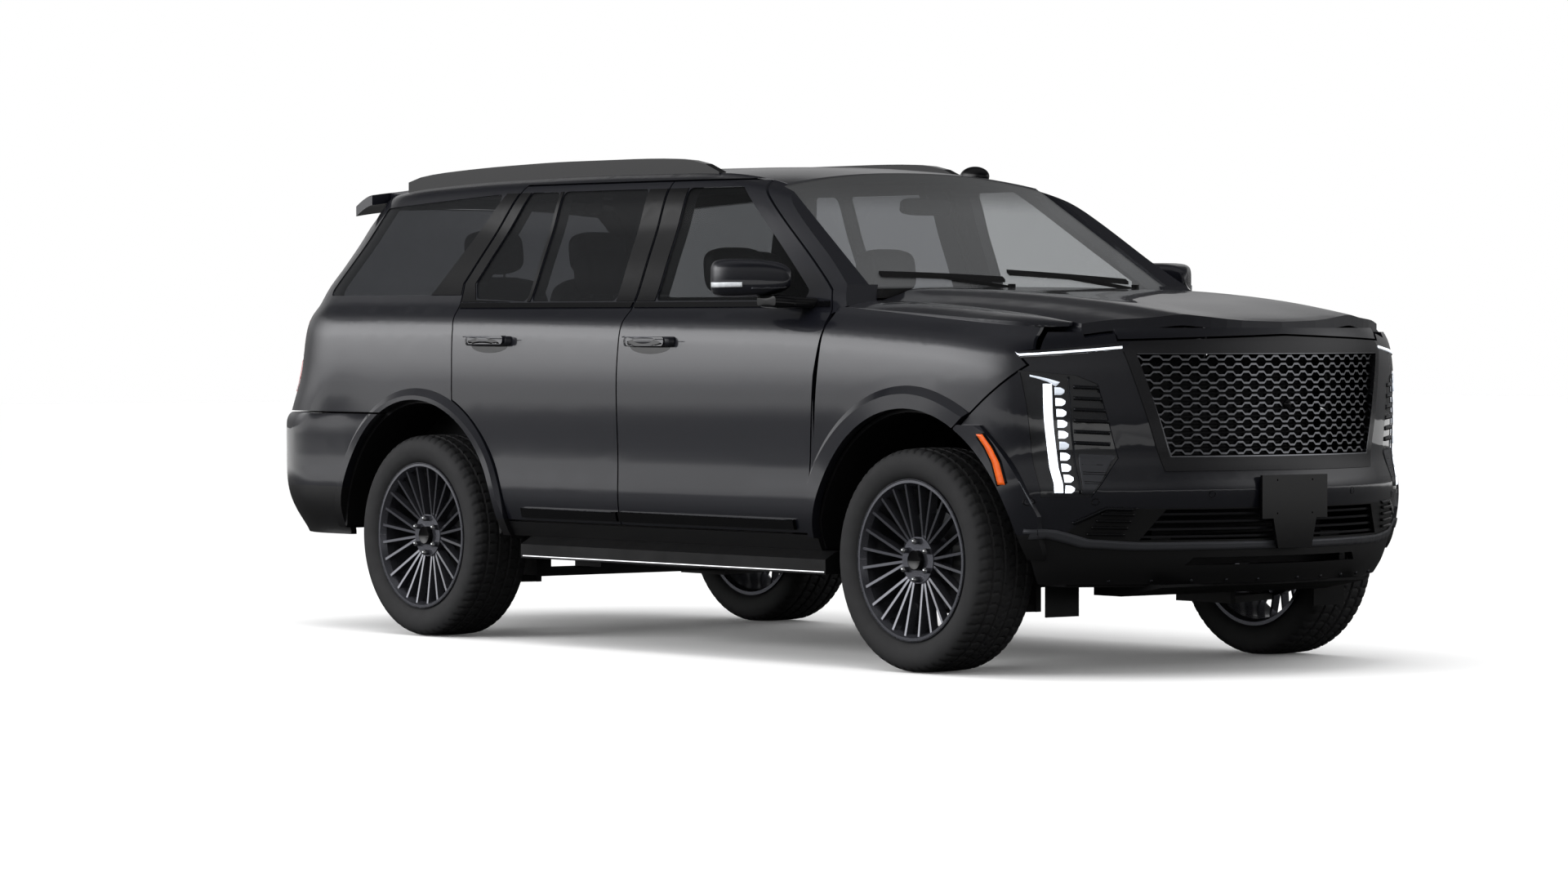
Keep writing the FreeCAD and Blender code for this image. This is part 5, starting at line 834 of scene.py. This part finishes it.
seat = {
    "length": 0.500, "back": 0.560, "thick": 0.110, "base": 0.150, "lean": 0.25, "headHeight": 0.170, "headRise": 0.030,
    "backInset": 0.055, "backMiddle": 0.30, "cushionMiddle": 0.255, "cushionRise": 0.062, "backRise": 0.385,
    "headLift": 0.115, "cushionTilt": -0.07, "headTilt": math.pi / 2 - 0.12,
    # half sizes, roundness, crown, and place and depth of each sewn seam as shares of the half sizes
    "cushion": ((0.262, 0.258, 0.070), 0.42, 0.16, ((-0.56, 0.13), (0.56, 0.13))),
    "backrest": ((0.300, 0.250, 0.062), 0.42, 0.10, ((-0.58, 0.16), (0.58, 0.16))),
    "headRest": ((0.092, 0.132, 0.052), 0.55, 0.10, ()),
    "seamWidth": 0.045, "bolsterFrom": 0.62, "bolsterOver": 0.3, "bolsterRise": 0.28,
    "postRadius": 0.006, "postApart": 0.12, "postHeights": (0.60, 0.74),
    # half width and height above the floor of the frame under the cushion
    "frame": ((0.16, 0.001), (0.17, 0.021), (0.15, 0.061), (0.19, 0.146)), "frameBehind": 0.26, "frameStretch": 1.1,
}
# CAD node, front edge of the cushion, distance from the centre line, whether it stands on a raised floor
seatRows = {"front": ("front_seats", 0.520, 0.395, False), "second": ("rear_seats", -0.330, 0.395, False),
            "third": ("rear_seats", -1.250, 0.2765, True)}
cabin = {
    "mirror": ((0.034, 0.125, 0.020), 0.5, 0.0, (), (16, 32)), "place": (0.640, 0.0, 1.735), "tilt": math.pi / 2 + 0.15,
    "stem": [(0.640, 0, 1.755), (0.612, 0, 1.800), (0.622, 0, 1.829)], "stemHalf": (0.010, 0.016),
}


def padPoints(half, power, crown, seams, count=(34, 48)):
    # superellipsoid: cosines and sines of latitude and longitude raised to a small power, times the half sizes, with
    # the top crowned by a cosine hump, raised at its sides and dipped by a narrow bell curve along each sewn seam
    lat = np.linspace(-np.pi / 2, np.pi / 2, count[0])[:, None]
    lon = np.linspace(0, 2 * np.pi, count[1], endpoint=False)[None]
    cosLat, sinLat = np.cos(lat), np.sin(lat)
    x = np.sign(np.cos(lon)) * np.abs(cosLat) ** power * np.abs(np.cos(lon)) ** power
    y = np.sign(np.sin(lon)) * np.abs(cosLat) ** power * np.abs(np.sin(lon)) ** power
    z = np.sign(sinLat) * np.abs(sinLat) ** power + 0 * lon
    dip = sum(depth * np.exp(-((y - place) / seat["seamWidth"]) ** 2) for place, depth in seams)
    edge = np.clip((np.abs(y) - seat["bolsterFrom"]) / seat["bolsterOver"], 0, 1)
    hump = crown * np.cos(np.pi / 2 * x) * np.cos(np.pi / 2 * y)
    z = z + (hump + seat["bolsterRise"] * edge * (3 * edge - 2 * edge ** 2) - dip) * (z > 0)
    return np.stack([x * half[0], y * half[1], z * half[2]], -1)


def placed(grid, centre, tilt):
    # grid turned about the cross axis by the tilt, then moved to its centre
    c, s = math.cos(tilt), math.sin(tilt)
    x, z = grid[..., 0] * c + grid[..., 2] * s, -grid[..., 0] * s + grid[..., 2] * c
    return np.stack([x + centre[0], grid[..., 1] + centre[1], z + centre[2]], -1)


def seatSet(values, row, side, hand):
    # cushion, backrest leaning by its slope, head rest on two posts, frame down to the floor
    node, frontX, offCentre, raised = seatRows[row]
    low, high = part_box(node)
    tall = sum(values[key] for key in ("base", "thick", "back", "headRise", "headHeight"))
    floorZ = high[2] - tall if raised else low[2]
    y, base, body = side * offCentre, floorZ + values["base"], bodyOf[node]
    backX = frontX - values["length"] + values["backInset"]
    headX = backX - values["lean"] * values["back"]
    pads = {
        "cushion": ((frontX - values["cushionMiddle"], y, base + values["cushionRise"]), values["cushionTilt"]),
        "backrest": ((backX - values["lean"] * values["backMiddle"], y, base + values["backRise"]),
                     math.pi / 2 - math.atan(values["lean"])),
        "headRest": ((headX, y, base + values["thick"] + values["back"] + values["headLift"]), values["headTilt"]),
    }
    for part, (centre, tilt) in pads.items():
        grid = placed(padPoints(*values[part]), centre, tilt)
        piece = tubePiece(row + part[0].upper() + part[1:] + hand, grid, slotMaterials["seat_leather"], body, 80.0)
        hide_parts(node)
    half = values["postApart"] / 2
    post = evenLine([(headX, y + half, base + z) for z in values["postHeights"]], 6)
    points = sweptAlong(post, roundSection(values["postRadius"], values["postRadius"], 12), (1, 0, 0))
    faces = gridFaces(*points.shape[:2], wrapCols=True)
    makePiece(row + "HeadRestPosts" + hand, np.concatenate([points, points - (0, 2 * half, 0)]),
              np.vstack([faces, faces + points.shape[0] * points.shape[1]]), brightChrome, body, closed=True)
    wide, level = (np.array(values["frame"])[:, i, None] for i in (0, 1))
    along, across = roundSection(1.0, 1.0, 24, 6.0).T
    grid = np.stack([frontX - values["frameBehind"] + wide * values["frameStretch"] * along, y + wide * across,
                     floorZ + level + 0 * along], -1)
    tubePiece(row + "SeatFrame" + hand, grid, blackPlastic, body)


for row in seatRows:
    for side, hand in sides:
        seatSet(seat, row, side, hand)
print("stage: seats")

tubePiece("interiorMirror", placed(padPoints(*cabin["mirror"]), cabin["place"], cabin["tilt"]), glossBlack,
          bodyOf["windshield"])
stem = sweptAlong(evenLine(cabin["stem"], 8), roundSection(*cabin["stemHalf"], 12), (0, 1, 0))
tubePiece("mirrorStem", stem, blackPlastic, bodyOf["windshield"])
print("stage: cabin")


# rear: light blades on the tail lamps, reflectors, exhaust ends, sensors, and on the gate a blank plate in its recess
# with a bar above it and a strip along the bottom

rear = {
    "bladeLine": [(-2.40, 0.0), (-2.37, 0.5), (-2.335, 1.0)], "bladeLow": 1.02, "bladeHalf": 0.008,
    # distance forward of the line, upper end, material on the right and on the left
    "blades": ((0.012, 1.36, redGuideRight, redGuideLeft), (0.050, 1.375, clearReflex, clearReflex)),
    "blade": ((3, 40), 0.0012, 0.002),
    "sensor": (0.40, 0.70), "sensorRadii": (0.0125, 0.0004),
    "sensorFace": (paint, (4, 25), 0.001, 0.001),
    "plateZ": 1.040,
}
rearStrips = {
    "rearReflector": ([(0.66, 0.655), (0.84, 0.655)], [(0.66, 0.632), (0.84, 0.632)],
                      tailRed, (3, 24), 0.001, 0.003),
    "exhaustFinisher": ([(0.52, 0.475), (0.70, 0.475)], [(0.53, 0.435), (0.69, 0.435)],
                        darkChrome, (3, 24), 0.001, 0.006),
}
# half width, lower and upper edge from the plate's middle, sheet
gateStrips = {
    "plateRecess": ((0.285, -0.100, 0.100), (blackPlastic, (8, 24), 0.001, 0.003)),
    "blankPlate": ((0.152, -0.076, 0.076), (clearReflex, (6, 16), 0.0045, 0.0015)),
    "plateBar": ((0.33, 0.112, 0.128), (darkChrome, (3, 30), 0.002, 0.008)),
    "gateBottomStrip": ((0.62, -0.115, -0.105),
                        (satinGraphite, (2, 40), 0.001, 0.003)),
}


def rearSet(values, side, hand):
    for number, (inset, top, right, left) in enumerate(values["blades"]):
        line = np.array([(x + inset, values["bladeLow"] + share * (top - values["bladeLow"]))
                         for x, share in values["bladeLine"]])
        half = (values["bladeHalf"], 0)
        laidPiece("tailBlade%s%d" % (hand, number), "tail_lamps", "near", side, line + half, line - half,
                  left if side > 0 else right, *values["blade"])
    for name, strip in rearStrips.items():
        laidPiece(name + hand, "rear_bumper", "tail", side, *strip)
    rims = [ovalLine(*values["sensor"], radius, radius) for radius in values["sensorRadii"]]
    laidPiece("rearSensor" + hand, "rear_bumper", "tail", side, *rims, *values["sensorFace"])


for side, hand in sides:
    rearSet(rear, side, hand)
for name, ((half, bottom, top), sheet) in gateStrips.items():
    laidPiece(name, "liftgate", "tail", -1, *rectangle(half, rear["plateZ"] + bottom, rear["plateZ"] + top), *sheet)
print("stage: rear")


# studio: pale floor that reads white to the camera and keeps the shadow, bright band low in the world, soft boxes

studio = {
    "floorHalf": 60.0, "floorSeen": "#f6f6f6", "floorCast": "#343434", "floorFar": "#e8e8e8", "nearFloor": 12.0,
    "farFloor": 26.0, "floorGlow": 0.05,
    "worldStrength": 1.10, "darkSide": (-0.77, 0.635, 0.0), "darkFade": (0.15, 0.75), "darkLevel": 0.10,
    "frontSide": (0.64, 0.77, 0.0), "frontFade": (0.2, 0.9), "frontLevel": 0.30,
    # brightness over the sine of the height in the sky, from the horizon to straight above
    "horizon": (0.95, 0.95, 0.96, 1), "zenith": (0.22, 0.22, 0.22, 1),
    "bands": ((0.05, 2.0), (0.15, 3.4), (0.30, 3.0), (0.42, 0.65), (0.55, 0.26), (0.75, 0.22)), "bandBlue": 1.01,
    # place, target, width and height, power
    "boxes": {"overheadBox": ((0.5, -1.0, 6.0), (0, 0, 0.8), (7.0, 3.0), 200.0),
              "sideBox": ((-2.0, -8.5, 3.2), (0, 0, 0.9), (6.0, 2.0), 500.0),
              "frontBox": ((8.5, -2.0, 3.0), (1.5, 0, 0.8), (2.5, 2.0), 60.0)},
}
view = {"azimuth": 50.586, "elevation": 1.205, "roll": 0.013, "place": (16.705, -13.917, 1.265), "lens": 124.5,
        "filmWidth": 36.0, "reach": 200.0}


def makeFloor(values):
    # the camera sees a plain pale sheet with a slight glow; light and reflections meet a darker one that pales far away
    half = values["floorHalf"]
    mesh = bpy.data.meshes.new("floor")
    mesh.from_pydata([(-half, -half, 0), (half, -half, 0), (half, half, 0), (-half, half, 0)], [], [(0, 1, 2, 3)])
    floor = bpy.data.objects.new("floor", mesh)
    bpy.context.scene.collection.objects.link(floor)
    material, tree, shader = startMaterial("paleFloor", values["floorSeen"], 0.0, 0.95)
    rays = addNode(tree, "LightPath")
    place = addNode(tree, "TexCoord")
    reach = addNode(tree, "VectorMath", {0: place.outputs["Object"]}, operation="LENGTH")
    away = addNode(tree, "MapRange", {"From Min": values["nearFloor"], "From Max": values["farFloor"], "Value": reach},
                   interpolation_type="SMOOTHSTEP")
    cast = addNode(tree, "Mix", {"A": values["floorCast"], "B": values["floorFar"], "Factor": away}, data_type="RGBA")
    seen = rays.outputs["Is Camera Ray"]
    skin = addNode(tree, "Mix", {"A": cast, "B": values["floorSeen"], "Factor": seen}, data_type="RGBA")
    glow = addNode(tree, "Math", {0: seen, 1: values["floorGlow"]}, operation="MULTIPLY")
    feed(tree, shader, {"Base Color": skin, "Emission Color": "#ffffff", "Emission Strength": glow})
    mesh.materials.append(material)


def makeWorld(values):
    # white to the camera, and for reflections a band of light low in the sky that fades towards two directions: both
    # ways along the dark axis and ahead of the front
    world = bpy.data.worlds.new("studioWorld")
    bpy.context.scene.world = world
    world.use_nodes = True
    tree = world.node_tree
    tree.nodes.clear()
    rays = addNode(tree, "LightPath")
    seen = addNode(tree, "Math", {0: rays.outputs["Is Camera Ray"], 1: rays.outputs["Is Transmission Ray"]},
                   operation="MAXIMUM")
    shown = addNode(tree, "Math", {0: seen, 1: rays.outputs["Is Glossy Ray"]}, operation="MAXIMUM")
    strength = addNode(tree, "MapRange", {"To Min": values["worldStrength"], "To Max": 1.0, "Value": shown})
    way = addNode(tree, "TexCoord").outputs["Generated"]
    split = addNode(tree, "SeparateXYZ", {"Vector": way})
    dark, front = (addNode(tree, "VectorMath", {0: way, 1: values[key]}, operation="DOT_PRODUCT")
                   for key in ("darkSide", "frontSide"))
    bothWays = addNode(tree, "Math", {0: dark}, operation="ABSOLUTE")
    fade, dim = (addNode(tree, "MapRange", {"From Min": start, "From Max": stop, "To Min": 1.0, "To Max": level,
                                            "Value": value}, interpolation_type=curve)
                 for (start, stop), level, value, curve in (
                     (values["darkFade"], values["darkLevel"], bothWays, "SMOOTHSTEP"),
                     (values["frontFade"], values["frontLevel"], front, "LINEAR")))
    both = addNode(tree, "Math", {0: fade, 1: dim}, operation="MULTIPLY")
    ramp = addNode(tree, "ValToRGB", {"Fac": split.outputs["Z"]})
    stops = ramp.color_ramp.elements
    stops[0].position, stops[0].color = 0.0, values["horizon"]
    stops[1].position, stops[1].color = 1.0, values["zenith"]
    for at, level in values["bands"]:
        stops.new(at).color = (level, level, level * values["bandBlue"], 1)
    shade = addNode(tree, "VectorMath", {0: ramp, "Scale": both}, operation="SCALE")
    colour = addNode(tree, "Mix", {"A": "#ffffff", "B": shade, "Factor": rays.outputs["Is Glossy Ray"]},
                     data_type="RGBA")
    sky = addNode(tree, "Background", {"Color": colour, "Strength": strength})
    addNode(tree, "OutputWorld", {"Surface": sky})


def makeLights(values):
    for name, (place, target, size, power) in values["boxes"].items():
        light = bpy.data.lights.new(name, "AREA")
        light.shape, light.size, light.size_y, light.energy = "RECTANGLE", *size, power
        box = bpy.data.objects.new(name, light)
        box.location = place
        box.visible_glossy = False
        box.rotation_euler = (Vector(target) - Vector(place)).to_track_quat("-Z", "Y").to_euler()
        bpy.context.scene.collection.objects.link(box)


def makeCamera(values):
    # long lens at the photograph's angle: the back axis from azimuth and elevation, then a small roll
    az, el = math.radians(values["azimuth"]), math.radians(values["elevation"])
    back = Vector((math.sin(az) * math.cos(el), -math.cos(az) * math.cos(el), math.sin(el)))
    right = Vector((math.cos(az), math.sin(az), 0))
    turn = Matrix((right, back.cross(right), back)).transposed().to_4x4()
    data = bpy.data.cameras.new("photoCamera")
    data.lens, data.sensor_width, data.clip_end = values["lens"], values["filmWidth"], values["reach"]
    photoCamera = bpy.data.objects.new("photoCamera", data)
    photoCamera.matrix_world = (Matrix.Translation(values["place"]) @ turn
                                @ Matrix.Rotation(math.radians(values["roll"]), 4, "Z"))
    bpy.context.scene.collection.objects.link(photoCamera)
    bpy.context.scene.camera = photoCamera


makeFloor(studio)
makeWorld(studio)
makeLights(studio)
makeCamera(view)
bpy.context.scene.view_settings.view_transform = "Standard"
print("stage: studio and camera")
